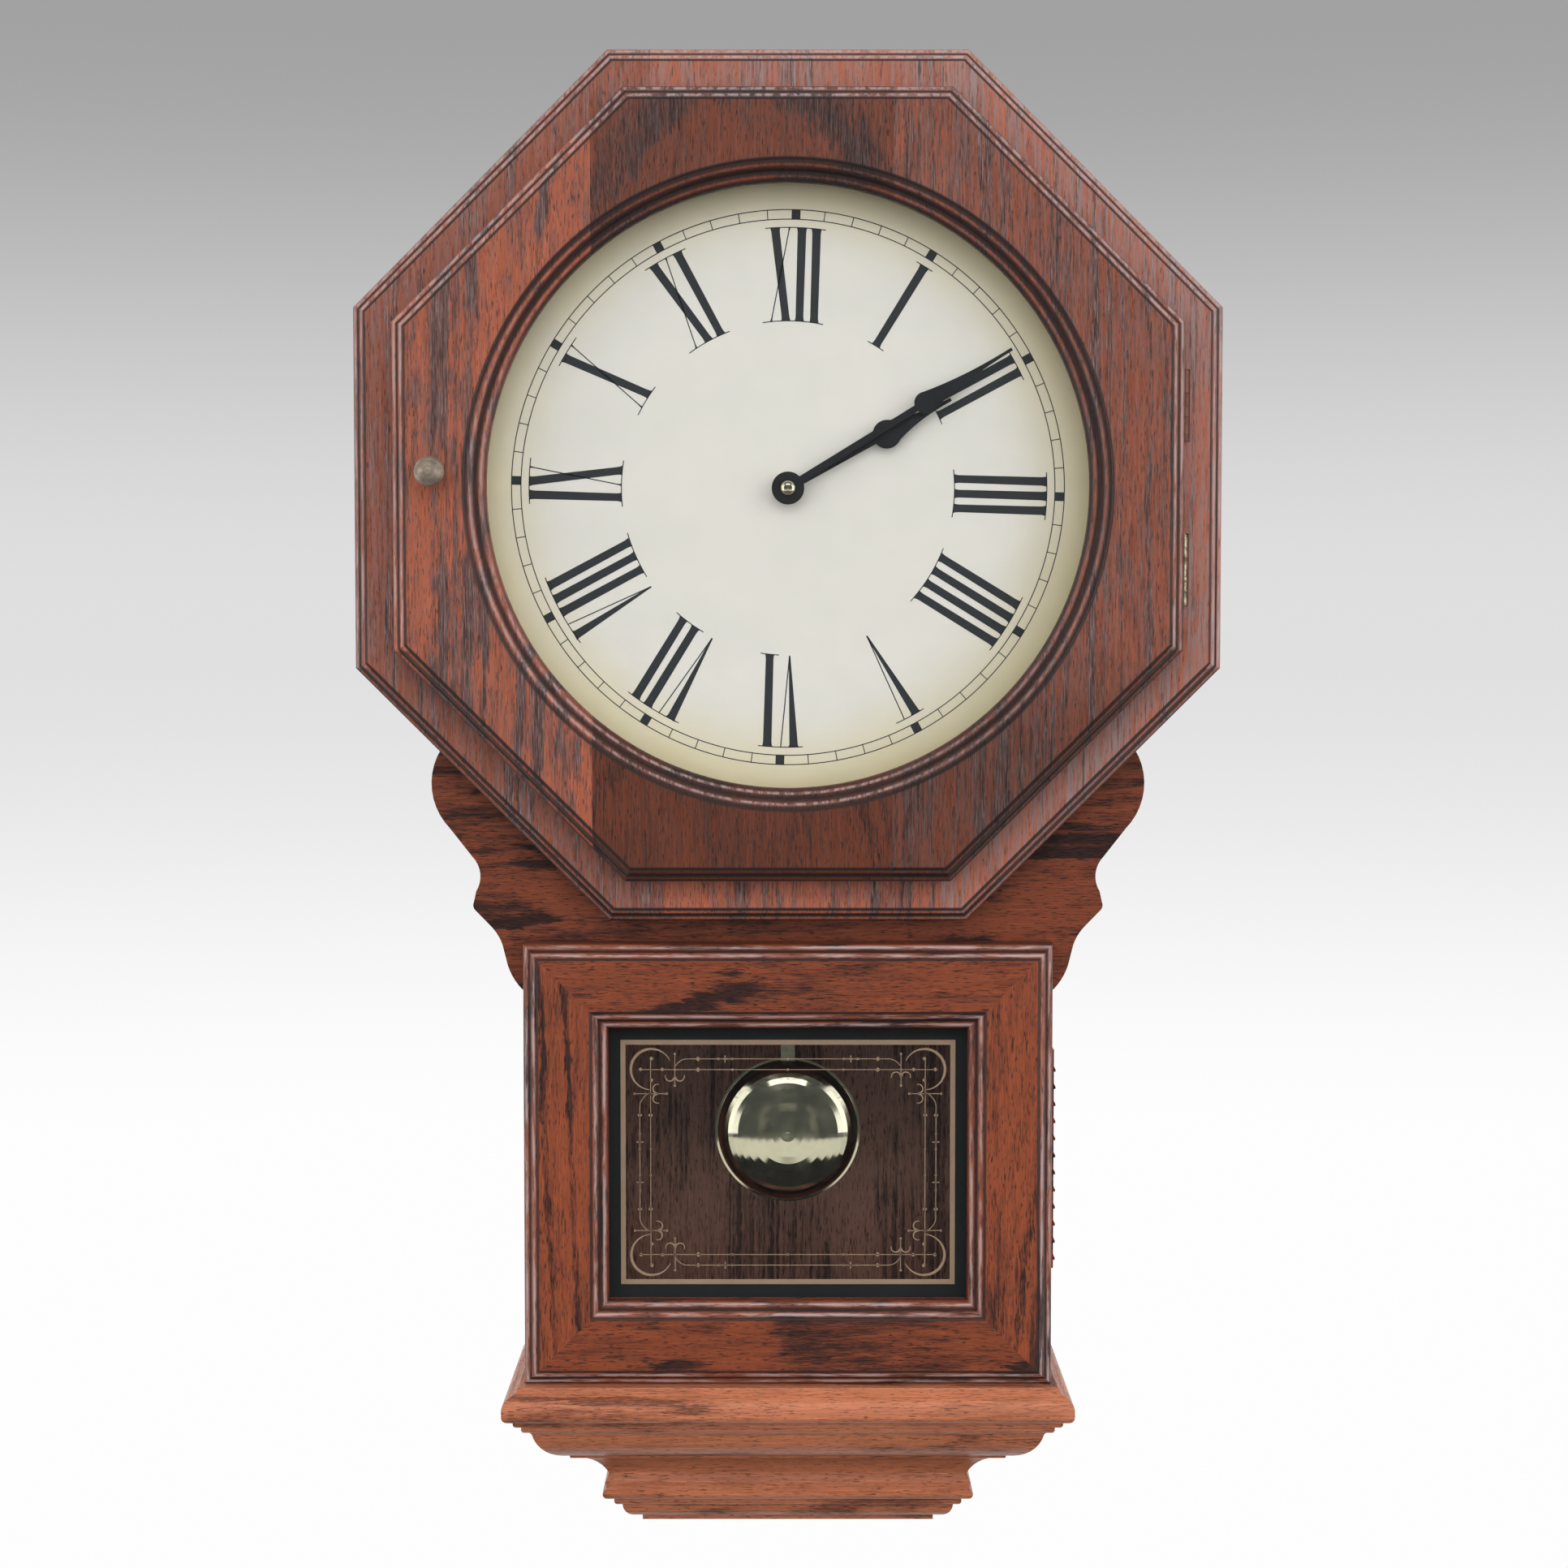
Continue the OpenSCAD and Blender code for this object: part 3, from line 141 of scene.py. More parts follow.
class Graph:
    """Builds nodes in one tree and joins their sockets."""

    def __init__(self, tree: bpy.types.NodeTree) -> None:
        """Keep the tree that the nodes go into."""
        self.tree = tree

    def node(self, kind: str, **values: object) -> bpy.types.Node:
        """Add a node.

        Args:
            kind: The node's type name.
            **values: Properties to set on it.

        Returns:
            The new node.
        """
        made = self.tree.nodes.new(kind)
        for key, value in values.items():
            setattr(made, key, value)
        return made

    def put(self, socket: bpy.types.NodeSocket, value: object) -> None:
        """Join a socket to a signal, or set its plain value.

        Args:
            socket: The input to fill.
            value: A signal, a number, a vector or a colour.
        """
        if isinstance(value, Signal):
            self.tree.links.new(value.socket, socket)
        elif isinstance(value, tuple) and socket.type == "RGBA":
            socket.default_value = (*value, 1.0)
        else:
            socket.default_value = value

    def fill(self, node: bpy.types.Node, **inputs: object) -> list[Signal]:
        """Fill a node's sockets by name.

        Args:
            node: The node.
            **inputs: What goes into each socket, with _ for a space in its name.

        Returns:
            What the node puts out.
        """
        for key, value in inputs.items():
            self.put(node.inputs[key.replace("_", " ")], value)
        return [Signal(self, socket) for socket in node.outputs]

    def join(self, kind: str, *inputs: object, **values: object) -> Signal:
        """Add a node and fill its sockets in order.

        Args:
            kind: The node's type name.
            *inputs: What goes into its first sockets.
            **values: Properties to set on it.

        Returns:
            Its first output.
        """
        made = self.node(kind, **values)
        for socket, value in zip(made.inputs, inputs):
            self.put(socket, value)
        return Signal(self, made.outputs[0])

    def math(self, operation: str, *values: Signal | float) -> Signal:
        """Work out one sum."""
        return self.join("ShaderNodeMath", *values, operation=operation)

    def reach(self, a: Signal, b: Signal) -> Signal:
        """Give the length of a slanting line from its two sides."""
        return self.math("SQRT", a * a + b * b)

    def combine(self, *parts: Signal | float) -> Signal:
        """Join three values into a vector."""
        return self.join("ShaderNodeCombineXYZ", *parts)

    def split(self, vector: Signal) -> list[Signal]:
        """Split a vector into its three values."""
        return self.fill(self.node("ShaderNodeSeparateXYZ"), Vector=vector)

    def stretch(self, vector: Signal, by: Triple) -> Signal:
        """Multiply a vector by three plain numbers."""
        return self.join("ShaderNodeVectorMath", vector, by, operation="MULTIPLY")

    def tint(self, colour: Signal | Triple, by: Signal) -> Signal:
        """Multiply a colour by a value."""
        return self.fill(self.node("ShaderNodeVectorMath", operation="SCALE"), Vector=colour, Scale=by)[0]

    def ease(self, value: Signal, low: float, high: float, at_low: float = 0.0,
             at_high: float = 1.0) -> Signal:
        """Ease from one level to another while the value passes between two limits."""
        return self.join("ShaderNodeMapRange", value, low, high, at_low, at_high,
                         interpolation_type="SMOOTHSTEP")

    def noise(self, vector: Signal, scale: Triple | None = None, detail: float = 2.0, rough: float = 0.5
              ) -> Signal:
        """Sample cloud noise.

        Args:
            vector: Where to sample it.
            scale: Features to a unit of each axis, or None for one.
            detail: How many finer layers it has.
            rough: How strong each finer layer is.

        Returns:
            Values round 0.5.
        """
        if scale is not None:
            vector = self.stretch(vector, scale)
        cloud = self.node("ShaderNodeTexNoise", noise_dimensions="3D")
        return self.fill(cloud, Vector=vector, Scale=1.0, Detail=detail, Roughness=rough)[0]

    def mix(self, share: Signal, a: Signal | Triple, b: Signal | Triple) -> Signal:
        """Mix two colours.

        Args:
            share: How much of the second one there is.
            a: The first colour.
            b: The second colour.

        Returns:
            The mixed colour.
        """
        made = self.node("ShaderNodeMix", data_type="RGBA")
        for index, value in ((0, share), (6, a), (7, b)):
            self.put(made.inputs[index], value)
        return Signal(self, made.outputs[2])

    def spot(self) -> Signal:
        """Give the place on the piece in millimetres."""
        own = self.node("ShaderNodeTexCoord").outputs["Object"]
        return self.stretch(Signal(self, own), (1 / MM, 1 / MM, 1 / MM))

    def call(self, group: bpy.types.NodeTree, **inputs: object) -> list[Signal]:
        """Place a shared group and give what it puts out."""
        return self.fill(self.node("ShaderNodeGroup", node_tree=group), **inputs)


class Cloud:
    """The noises: features to a millimetre (across, deep, along a board), finer layers, their strength."""

    WANDER = ((0.016, 0.016, 0.0045), 2.0, 0.5)
    DRIFT = ((0.07, 0.07, 0.013), 3.0, 0.5)
    TONGUE = ((0.55, 0.55, 0.075), 3.0, 0.7)
    YEAR_DRIFT = (None, 1.0, 0.5)
    YEAR = (None, 0.0, 0.5)
    FIBRE = ((1.25, 1.25, 0.085), 4.0, 0.7)
    CLOUD = ((0.045, 0.045, 0.012), 3.0, 0.6)
    TUFT = ((0.34, 0.34, 0.035), 4.0, 0.7)
    PORE = ((2.3, 2.3, 0.24), 1.0, 0.4)
    WIDE_PORE = ((1.35, 1.35, 0.13), 1.0, 0.4)
    GLEAM = ((2.2, 2.2, 0.05), 2.0, 0.5)
    PAINTED_SHEEN = ((0.9, 0.9, 0.045), 3.0, 0.7)
    PAINTED_SHEEN_LINE = ((2.4, 2.4, 0.11), 2.0, 0.6)
    SMUDGE = ((0.09, 0.09, 0.09), 3.0, 0.6)
    SPECK = ((2.6, 2.6, 2.6), 2.0, 0.6)
    TARNISH = ((0.35, 0.35, 0.35), 4.0, 0.65)
    KNOB_TARNISH = ((0.3, 0.3, 0.3), 4.0, 0.65)
    KNOB_RINGS = (None, 3.0, 0.7)
    YELLOWING = ((0.03, 0.03, 0.03), 3.0, 0.5)
    SMEAR = ((0.02, 0.02, 0.05), 3.0, 0.5)


class Level:
    """The two limits that an effect eases between, and what it gives at each if not 0 and 1."""

    YEAR_RISE = (0.0, 0.22)
    YEAR_FALL = (0.34, 0.92, 1.0, 0.0)
    YEAR_STRENGTH = (0.32, 0.66, 0.1, 1.1)
    PATCH = (0.42, 0.60, 0.12, 1.2)
    PORE_GATE = (0.0, 0.9, 0.62, 0.51)
    PORE = (0.0, 0.08)
    WIDE_PORE = (0.0, 0.07)
    DARK = (-0.30, 1.0)
    GLEAM = (0.52, 0.72, 0.0, 0.35)
    PAINTED_SHEEN = (0.38, 0.62, 0.35, 1.5)
    PAINTED_SHEEN_LINE = (0.52, 0.64, 0.0, 1.7)
    PAINTED_HIGHLIGHT = (0.42, 0.58, 0.95, 0.10)
    TARNISH = (0.42, 0.62)
    KNOB_TARNISH = (0.36, 0.64)
    KNOB_RINGS = (0.3, 0.7, 0.72, 1.25)
    SMEAR_COLOUR = (0.3, 0.7)
    SMEAR_ROUGHNESS = (0.35, 0.75, 0.0, 0.012)


class Share:
    """How much each part of the grain counts, and where its noises are sampled."""

    DRIFT = 0.45
    TONGUE = 0.62
    YEAR = 3.4
    YEAR_RATE = 0.09
    YEAR_DRIFT_AT = (3.1, 7.7)
    YEAR_AT = (0.37, 5.3)
    FIBRE = 2.6
    TUFT = 1.5
    CLOUD = 1.6
    WIDE_PORE = 0.9
    WIDE_PORE_GATE = 0.05
    PORE_STAIN = 0.8
    PLAIN = 0.62
    PALEST = 0.95
    DEEPEST = 0.9
    PAINTED_SHEEN = (0.30, 0.45)
    ROUGHNESS = {"plain": 0.34, "dark": 0.08, "pore": 0.25, "hollow": 0.3}
    HEIGHT = {"fibre": 0.5, "pore": -1.0, "early": -0.2}


class SharedEffects:
    """The node groups that several finishes use, each built once."""

    # Colours of painted light: the painted sheen, the painted highlight on moulding ridges, and the painted
    # shade, with some stain, in moulding hollows.
    PAINTED_SHEEN = (0.30, 0.195, 0.18)
    PAINTED_HIGHLIGHT = (0.41, 0.32, 0.31)
    HOLLOW_SHADE_AND_STAIN = (0.026, 0.016, 0.015)
    made: dict[str, bpy.types.NodeTree] = {}

    @classmethod
    def start(cls, name: str, inputs: dict[str, Kind], outputs: dict[str, Kind]
              ) -> tuple[Graph, list[Signal], bpy.types.Node]:
        """Begin a group.

        Args:
            name: The group's name.
            inputs: Kind of each named input.
            outputs: Kind of each named output.

        Returns:
            The group's graph, what is given to it, and the node that takes its results.
        """
        group = bpy.data.node_groups.new(name, "ShaderNodeTree")
        for way, sockets in (("INPUT", inputs), ("OUTPUT", outputs)):
            for label, kind in sockets.items():
                group.interface.new_socket(name=label, in_out=way, socket_type=kind.value)
        g = Graph(group)
        cls.made[name] = group
        return g, g.fill(g.node("NodeGroupInput"))[:len(inputs)], g.node("NodeGroupOutput")

    @classmethod
    def timber(cls) -> bpy.types.NodeTree:
        """Build the grain of open-pored oak, with painted sheen, painted shade in moulding hollows and
        painted highlights on their ridges.

        Returns:
            A group from a place in the board (across, depth, along, in mm) to its colour,
            roughness and height.
        """
        if "timber" in cls.made:
            return cls.made["timber"]
        g, given, result = cls.start(
            "timber",
            {"Place": Kind.VECTOR, **dict.fromkeys(("Late Wood", "Early Wood", "Pore"), Kind.COLOUR),
             **dict.fromkeys(("Pith Depth", "Slope", "Spacing", "Waviness", "Figure", "Patchiness",
                              "Bloom", "Edge"), Kind.VALUE)},
            {"Colour": Kind.COLOUR, "Roughness": Kind.VALUE, "Height": Kind.VALUE})
        (where, late_wood, early_wood, pore_stain,
         pith, slope, spacing, waviness, figure, patchiness, bloom, edge) = given
        across, depth, along = g.split(where)
        wander = g.noise(where, *Cloud.WANDER) - 0.5
        drift = g.noise(where, *Cloud.DRIFT) - 0.5
        tongue = g.noise(where, *Cloud.TONGUE) - 0.5
        sway = drift * (waviness * Share.DRIFT) + wander * waviness
        reach = g.reach(across + sway, along * slope + pith + (depth + sway))
        reach = tongue * (waviness * Share.TONGUE) + reach
        unevenness = g.noise(g.combine(reach * Share.YEAR_RATE, *Share.YEAR_DRIFT_AT), *Cloud.YEAR_DRIFT)
        count = unevenness * Share.YEAR + reach / spacing
        ring = g.math("FRACT", count)
        year = g.noise(g.combine(g.math("FLOOR", count), *Share.YEAR_AT), *Cloud.YEAR)
        fibre = g.noise(where, *Cloud.FIBRE)
        cloud = g.noise(where, *Cloud.CLOUD)
        tuft = g.noise(where, *Cloud.TUFT)
        early = g.ease(ring, *Level.YEAR_RISE) * g.ease(ring, *Level.YEAR_FALL)
        early = early * g.ease(year, *Level.YEAR_STRENGTH)
        early = early * ((g.ease(cloud, *Level.PATCH) - Share.PLAIN) * patchiness + Share.PLAIN)
        gate = g.ease(early, *Level.PORE_GATE)
        fine = g.ease(g.noise(where, *Cloud.PORE) - gate, *Level.PORE)
        wide = g.ease(g.noise(where, *Cloud.WIDE_PORE) - (gate + Share.WIDE_PORE_GATE), *Level.WIDE_PORE)
        pore = fine.at_least(wide * Share.WIDE_PORE)
        dark = (fibre - 0.5) * Share.FIBRE + early * figure
        dark = (tuft - 0.5) * (figure * Share.TUFT) + dark
        dark = g.ease((cloud - 0.5) * Share.CLOUD + dark, *Level.DARK)
        gleam = g.ease(g.noise(where, *Cloud.GLEAM), *Level.GLEAM)
        colour = g.tint(g.mix(dark, late_wood, early_wood), gleam * (1.0 - dark) + Share.PALEST)
        colour = g.mix(pore * Share.PORE_STAIN, colour, pore_stain)
        # Painted sheen: pale pinkish-grey patches and streaks that stand in for light reflected off the
        # lacquer.
        on_dark, plain = Share.PAINTED_SHEEN
        painted_sheen_patches = g.ease(g.noise(where, *Cloud.PAINTED_SHEEN), *Level.PAINTED_SHEEN) * (dark * on_dark + plain)
        lines = g.ease(g.noise(where, *Cloud.PAINTED_SHEEN_LINE), *Level.PAINTED_SHEEN_LINE)
        colour = g.mix((lines * dark + painted_sheen_patches) * bloom, colour, cls.PAINTED_SHEEN)
        # Painted shade, with some stain, darkens the moulding hollows; a mottled painted highlight lightens
        # the ridges.
        hollow = edge.at_least(0.0).at_most(Share.DEEPEST)
        ridge_highlight = (edge * -1.0).at_least(0.0)
        colour = g.mix(hollow, colour, cls.HOLLOW_SHADE_AND_STAIN)
        colour = g.mix(ridge_highlight * g.ease(tuft, *Level.PAINTED_HIGHLIGHT), colour, cls.PAINTED_HIGHLIGHT)
        by = Share.ROUGHNESS
        rough = hollow * by["hollow"] + (pore * by["pore"] + (dark * by["dark"] + by["plain"]))
        by = Share.HEIGHT
        height = early * by["early"] + (pore * by["pore"] + fibre * by["fibre"])
        g.fill(result, Colour=colour, Roughness=rough, Height=height)
        return g.tree

    @classmethod
    def handling(cls) -> bpy.types.NodeTree:
        """Build the small unevenness of a handled surface.

        Returns:
            A group from a place in mm to a tone, a roughness to add, and a height.
        """
        if "handling" in cls.made:
            return cls.made["handling"]
        g, (where, grit), result = cls.start(
            "handling", {"Place": Kind.VECTOR, "Grit": Kind.VALUE},
            {"Tone": Kind.VALUE, "Roughness": Kind.VALUE, "Height": Kind.VALUE})
        smudge = g.noise(where, *Cloud.SMUDGE)
        speck = g.noise(where, *Cloud.SPECK)
        tone = (speck - 0.5) * grit * 0.5 + ((smudge - 0.5) * 0.30 + 1.0)
        g.fill(result, Tone=tone, Roughness=(smudge - 0.4) * 0.22, Height=speck * grit)
        return g.tree


@dataclass(frozen=True)
class Finish:
    """A finish and the slot of the record that it belongs to."""

    name: str
    slot: str

    def build(self, g: Graph, shader: bpy.types.Node) -> None:
        """Join this finish's nodes to the shader; each kind of finish has its own."""
        raise NotImplementedError

    def material(self) -> bpy.types.Material:
        """Make this finish's material, or find it if it is made.

        Returns:
            The material.
        """
        found = bpy.data.materials.get(self.name)
        if found:
            return found
        made = bpy.data.materials.new(self.name)
        made.use_nodes = True
        made.node_tree.nodes.clear()
        g = Graph(made.node_tree)
        shader = g.node("ShaderNodeBsdfPrincipled")
        g.fill(g.node("ShaderNodeOutputMaterial"), Surface=Signal(g, shader.outputs[0]))
        self.build(g, shader)
        return made

    @staticmethod
    def emboss(g: Graph, shader: bpy.types.Node, height: Signal, depth_mm: float, strength: float) -> None:
        """Raise the surface by a height field.

        Args:
            g: The material's graph.
            shader: The shader whose Normal it feeds.
            height: The height, in shares of the depth.
            depth_mm: The depth of the relief.
            strength: How much of it shows.
        """
        bump = g.node("ShaderNodeBump")
        g.fill(shader, Normal=g.fill(bump, Strength=strength, Distance=depth_mm * MM, Height=height)[0])


@dataclass(frozen=True)
class Relief:
    """Where a moulding has painted shade in its hollows and painted highlights on its ridges, measured
    across it in mm.
    """

    outline: Outline
    size: float
    hollows: tuple[float, ...]
    ridges: tuple[float, ...]
    inward: bool = True
    width: float = 0.85
    # depth is the painted shade, with some stain, in each hollow; the next two give the painted highlight
    # on each ridge and its width.
    depth: float = 1.0
    wear: float = 1.2
    highlight_width: float = 1.45
    frame_middle: float = -422.0
    frame_half: Point2 = (121.5, 102.0)
    # Painted shade over the whole moulding band: under is its depth below the octagons' lower corners, over
    # above them, plain on the frames; the round opening eases from the first depth at the lower left to the
    # second at the upper right.
    under: float = 1.35
    over: float = 0.42
    plain: float = 0.28
    round_span: Point2 = (-90.0, 80.0)
    round_shade_depths: Point2 = (0.50, 1.05)

    def across(self, g: Graph, where: Signal) -> Signal:
        """Measure how far a place lies across the moulding.

        Args:
            g: The material's graph.
            where: The place in mm.

        Returns:
            The distance from the moulding's starting edge.
        """
        x, _, z = g.split(where)
        if self.outline is Outline.FRAME:
            side = abs(x) - self.frame_half[0]
            reach = side.at_least(abs(z - self.frame_middle) - self.frame_half[1])
        elif self.outline is Outline.ROUND:
            reach = g.reach(x, z - DIAL_HEIGHT)
        else:
            wide, tall = abs(x), abs(z - DIAL_HEIGHT)
            reach = ((wide + tall) * math.sqrt(0.5)).at_least(wide.at_least(tall))
        return self.size - reach if self.inward else reach - self.size

    def shade(self, g: Graph, where: Signal) -> Signal | float:
        """Say how deep the painted shade lies on the moulding as a whole.

        Args:
            g: The material's graph.
            where: The place in mm.

        Returns:
            The depth: most under the octagons, and at the upper right of the round opening.
        """
        x, _, z = g.split(where)
        if self.outline is Outline.OCTAGON:
            corner = DIAL_HEIGHT - self.size * math.tan(math.pi / 8)
            return g.ease(z, corner - 1.0, corner + 1.0, self.under, self.over)
        if self.outline is Outline.ROUND:
            return g.ease(x * 0.6 + (z - DIAL_HEIGHT), *self.round_span, *self.round_shade_depths)
        return self.plain

    def mark(self, g: Graph, where: Signal) -> Signal:
        """Mark painted shade, with some stain, in the hollows with more than 0 and painted highlights on
        the ridges with less.

        Args:
            g: The material's graph.
            where: The place in mm.

        Returns:
            The mark.
        """
        across = self.across(g, where)
        last = max(self.hollows)
        # Painted shade over the whole moulding band, fading out past the last hollow.
        total = g.ease(across, last + 0.2, last + 1.0, 1.0, 0.0) * self.shade(g, where)
        # Hollows add painted shade with some stain; ridges take it away as a painted highlight.
        for lines, mark, width in ((self.hollows, self.depth, self.width),
                                   (self.ridges, -self.wear, self.highlight_width)):
            for line in lines:
                total = total + g.ease(abs(across - line), 0.0, width, mark, 0.0)
        return total


@dataclass(frozen=True)
class OakFinish(Finish):
    """Stained and lacquered oak, cut from the log in its own way.

    The pith lies behind the board, at centre across and pith deep, and drifts off by slope along
    it. Spacing is the width of a year, start shifts the grain along the board, and deep_end darkens
    it from one height down to another, as (low, high, tone at low).
    """

    grain: Grain = Grain.UPRIGHT
    centre: float = 0.0
    pith: float = 60.0
    slope: float = 0.02
    spacing: float = 4.2
    waviness: float = 9.0
    figure: float = 1.0
    tone: float = 1.0
    start: float = 0.0
    late: Triple = (0.290, 0.066, 0.024)
    early: Triple = (0.062, 0.021, 0.016)
    pore: Triple = (0.018, 0.009, 0.008)
    coat: float = 0.35
    # Share of painted sheen over the lacquer.
    bloom: float = 0.0
    patchiness: float = 1.0
    # Mouldings that get painted shade in their hollows and painted highlights on their ridges.
    reliefs: tuple[Relief, ...] = ()
    deep_end: Triple | None = None

    def build(self, g: Graph, shader: bpy.types.Node) -> None:
        """Lay the grain along the board, paint shade and highlights on its mouldings and lacquer it.

        Args:
            g: The material's graph.
            shader: The shader to feed.
        """
        spot = g.spot()
        axes = g.split(spot)
        across, depth, along = (axes[i] for i in self.grain.value)
        edge: Signal | float = 0.0
        for relief in self.reliefs:
            edge = relief.mark(g, spot) + edge
        late, early, pore = (tuple(c * self.tone for c in colour)
                             for colour in (self.late, self.early, self.pore))
        colour, rough, height = g.call(
            SharedEffects.timber(), Place=g.combine(across - self.centre, depth, along + self.start),
            Pith_Depth=self.pith, Slope=self.slope, Spacing=self.spacing, Waviness=self.waviness,
            Late_Wood=late, Early_Wood=early, Pore=pore, Figure=self.figure, Patchiness=self.patchiness,
            Bloom=self.bloom, Edge=edge)
        if self.deep_end is not None:
            low, high, tone = self.deep_end
            colour = g.tint(colour, g.ease(axes[2] - DIAL_HEIGHT, low, high, tone, 1.0))
        g.fill(shader, Base_Color=colour, Roughness=rough, Specular_IOR_Level=0.25, Coat_Weight=self.coat,
               Coat_Roughness=0.2)
        self.emboss(g, shader, height, depth_mm=0.09, strength=0.8)


@dataclass(frozen=True)
class MetalFinish(Finish):
    """A polished, brushed or aged metal."""

    colour: Triple = (0.8, 0.8, 0.8)
    roughness: float = 0.2
    grit: float = 0.1
    aged: float = 0.0
    dull_above: float | None = None
    patch_colour: Triple = (0.10, 0.065, 0.035)
    dull_colour: Triple = (0.38, 0.20, 0.155)

    def build(self, g: Graph, shader: bpy.types.Node) -> None:
        """Give the metal its colour, its smudges and, when aged, its dark patches.

        Args:
            g: The material's graph.
            shader: The shader to feed.
        """
        where = g.spot()
        tone, smudge, height = g.call(SharedEffects.handling(), Place=where, Grit=self.grit)
        colour = g.tint(self.colour, tone)
        rough = smudge + self.roughness
        if self.aged:
            patch = g.ease(g.noise(where, *Cloud.TARNISH), *Level.TARNISH)
            colour = g.mix(patch * self.aged, colour, self.patch_colour)
            rough = patch * (0.2 * self.aged) + rough
        if self.dull_above is not None:
            level = self.dull_above + DIAL_HEIGHT
            dull = g.ease(g.split(where)[2], level - 2.0, level + 2.0)
            colour = g.mix(dull, colour, self.dull_colour)
            rough = dull * 0.3 + rough
        g.fill(shader, Base_Color=colour, Roughness=rough.at_least(0.03), Metallic=1.0)
        self.emboss(g, shader, height, depth_mm=0.01, strength=0.4)


@dataclass(frozen=True)
class MouldedFinish(Finish):
    """Plastic, paint, ceramic or card with a fine even grit."""

    colour: Triple = (0.05, 0.05, 0.05)
    roughness: float = 0.5
    grit: float = 0.4
    depth_mm: float = 0.02

    def build(self, g: Graph, shader: bpy.types.Node) -> None:
        """Give the surface its colour and grit.

        Args:
            g: The material's graph.
            shader: The shader to feed.
        """
        tone, smudge, height = g.call(SharedEffects.handling(), Place=g.spot(), Grit=self.grit)
        g.fill(shader, Base_Color=g.tint(self.colour, tone), Roughness=smudge + self.roughness)
        self.emboss(g, shader, height, self.depth_mm, strength=0.6)


@dataclass(frozen=True)
class DialFinish(Finish):
    """Cream enamel that has yellowed towards the rim, with painted shade on the rim: darker to the right,
    lighter at the top.
    """

    cream: Triple = (0.72, 0.705, 0.645)
    rim: Triple = (0.74, 0.655, 0.40)
    fade_from: float = 98.0
    fade_to: float = 146.0
    cloud: float = 14.0
    lean: Point2 = (0.03, -0.03)
    painted_rim_shade: Point2 = (-0.0011, 0.0007)

    def build(self, g: Graph, shader: bpy.types.Node) -> None:
        """Yellow the enamel by its distance from the hands' centre.

        Args:
            g: The material's graph.
            shader: The shader to feed.
        """
        where = g.spot()
        x, _, z = g.split(where)
        h = z - DIAL_HEIGHT
        reach = (g.noise(where, *Cloud.YELLOWING) - 0.5) * self.cloud + g.reach(x, h)
        reach = x * self.lean[0] + (h * self.lean[1] + reach)
        # Painted shade: the yellowed rim darkens towards the right and brightens towards the top.
        rim = g.tint(self.rim, x * self.painted_rim_shade[0] + (h * self.painted_rim_shade[1] + 1.0))
        colour = g.mix(g.ease(reach, self.fade_from, self.fade_to), self.cream, rim)
        tone, smudge, height = g.call(SharedEffects.handling(), Place=where, Grit=0.12)
        g.fill(shader, Base_Color=g.tint(colour, (tone - 1.0) * 0.25 + 1.0), Roughness=smudge + 0.5)
        self.emboss(g, shader, height, depth_mm=0.012, strength=0.4)


@dataclass(frozen=True)
class GlassFinish(Finish):
    """Clear window glass that lets lamplight through."""

    colour: Triple = (0.985, 0.985, 0.98)
    smeared: Triple = (0.965, 0.97, 0.965)
    passing: Triple = (0.97, 0.97, 0.965)

    def build(self, g: Graph, shader: bpy.types.Node) -> None:
        """Make clear glass, and let shadow and bounce rays pass straight through it.

        Args:
            g: The material's graph.
            shader: The shader to feed.
        """
        smear = g.noise(g.spot(), *Cloud.SMEAR)
        g.fill(shader, Base_Color=g.mix(g.ease(smear, *Level.SMEAR_COLOUR), self.colour, self.smeared),
               Roughness=g.ease(smear, *Level.SMEAR_ROUGHNESS), Transmission_Weight=1.0, IOR=1.5)
        path = g.node("ShaderNodeLightPath").outputs
        through = Signal(g, path["Is Shadow Ray"]).at_least(Signal(g, path["Is Diffuse Ray"]))
        clear = g.join("ShaderNodeBsdfTransparent", self.passing)
        blend = g.join("ShaderNodeMixShader", through, Signal(g, shader.outputs[0]), clear)
        g.fill(next(n for n in g.tree.nodes if n.type == "OUTPUT_MATERIAL"), Surface=blend)


@dataclass(frozen=True)
class KnobFinish(Finish):
    """Old brass with the fine rings of the lathe and a brown tarnish."""

    centre: Point2 = (-159.02, 6.0)
    brass: Triple = (0.44, 0.36, 0.28)
    tarnish: Triple = (0.30, 0.24, 0.19)
    ring_rate: float = 3.2
    rings_at: Point2 = (0.4, 0.8)

    def build(self, g: Graph, shader: bpy.types.Node) -> None:
        """Turn rings round the knob's own middle.

        Args:
            g: The material's graph.
            shader: The shader to feed.
        """
        where = g.spot()
        x, _, z = g.split(where)
        reach = g.reach(x - self.centre[0], z - (self.centre[1] + DIAL_HEIGHT))
        rings = g.noise(g.combine(reach * self.ring_rate, *self.rings_at), *Cloud.KNOB_RINGS)
        tone = g.call(SharedEffects.handling(), Place=where, Grit=0.5)[0] * g.ease(rings, *Level.KNOB_RINGS)
        patch = g.ease(g.noise(where, *Cloud.KNOB_TARNISH), *Level.KNOB_TARNISH)
        g.fill(shader, Base_Color=g.tint(g.mix(patch, self.brass, self.tarnish), tone),
               Roughness=patch * 0.12 + 0.45, Metallic=0.65)
        self.emboss(g, shader, rings, depth_mm=0.03, strength=0.5)


def oak(name: str, grain: Grain = Grain.UPRIGHT, **cut: object) -> OakFinish:
    """Cut a board of the red-stained oak."""
    return OakFinish(name=name, slot="oak", grain=grain, **cut)


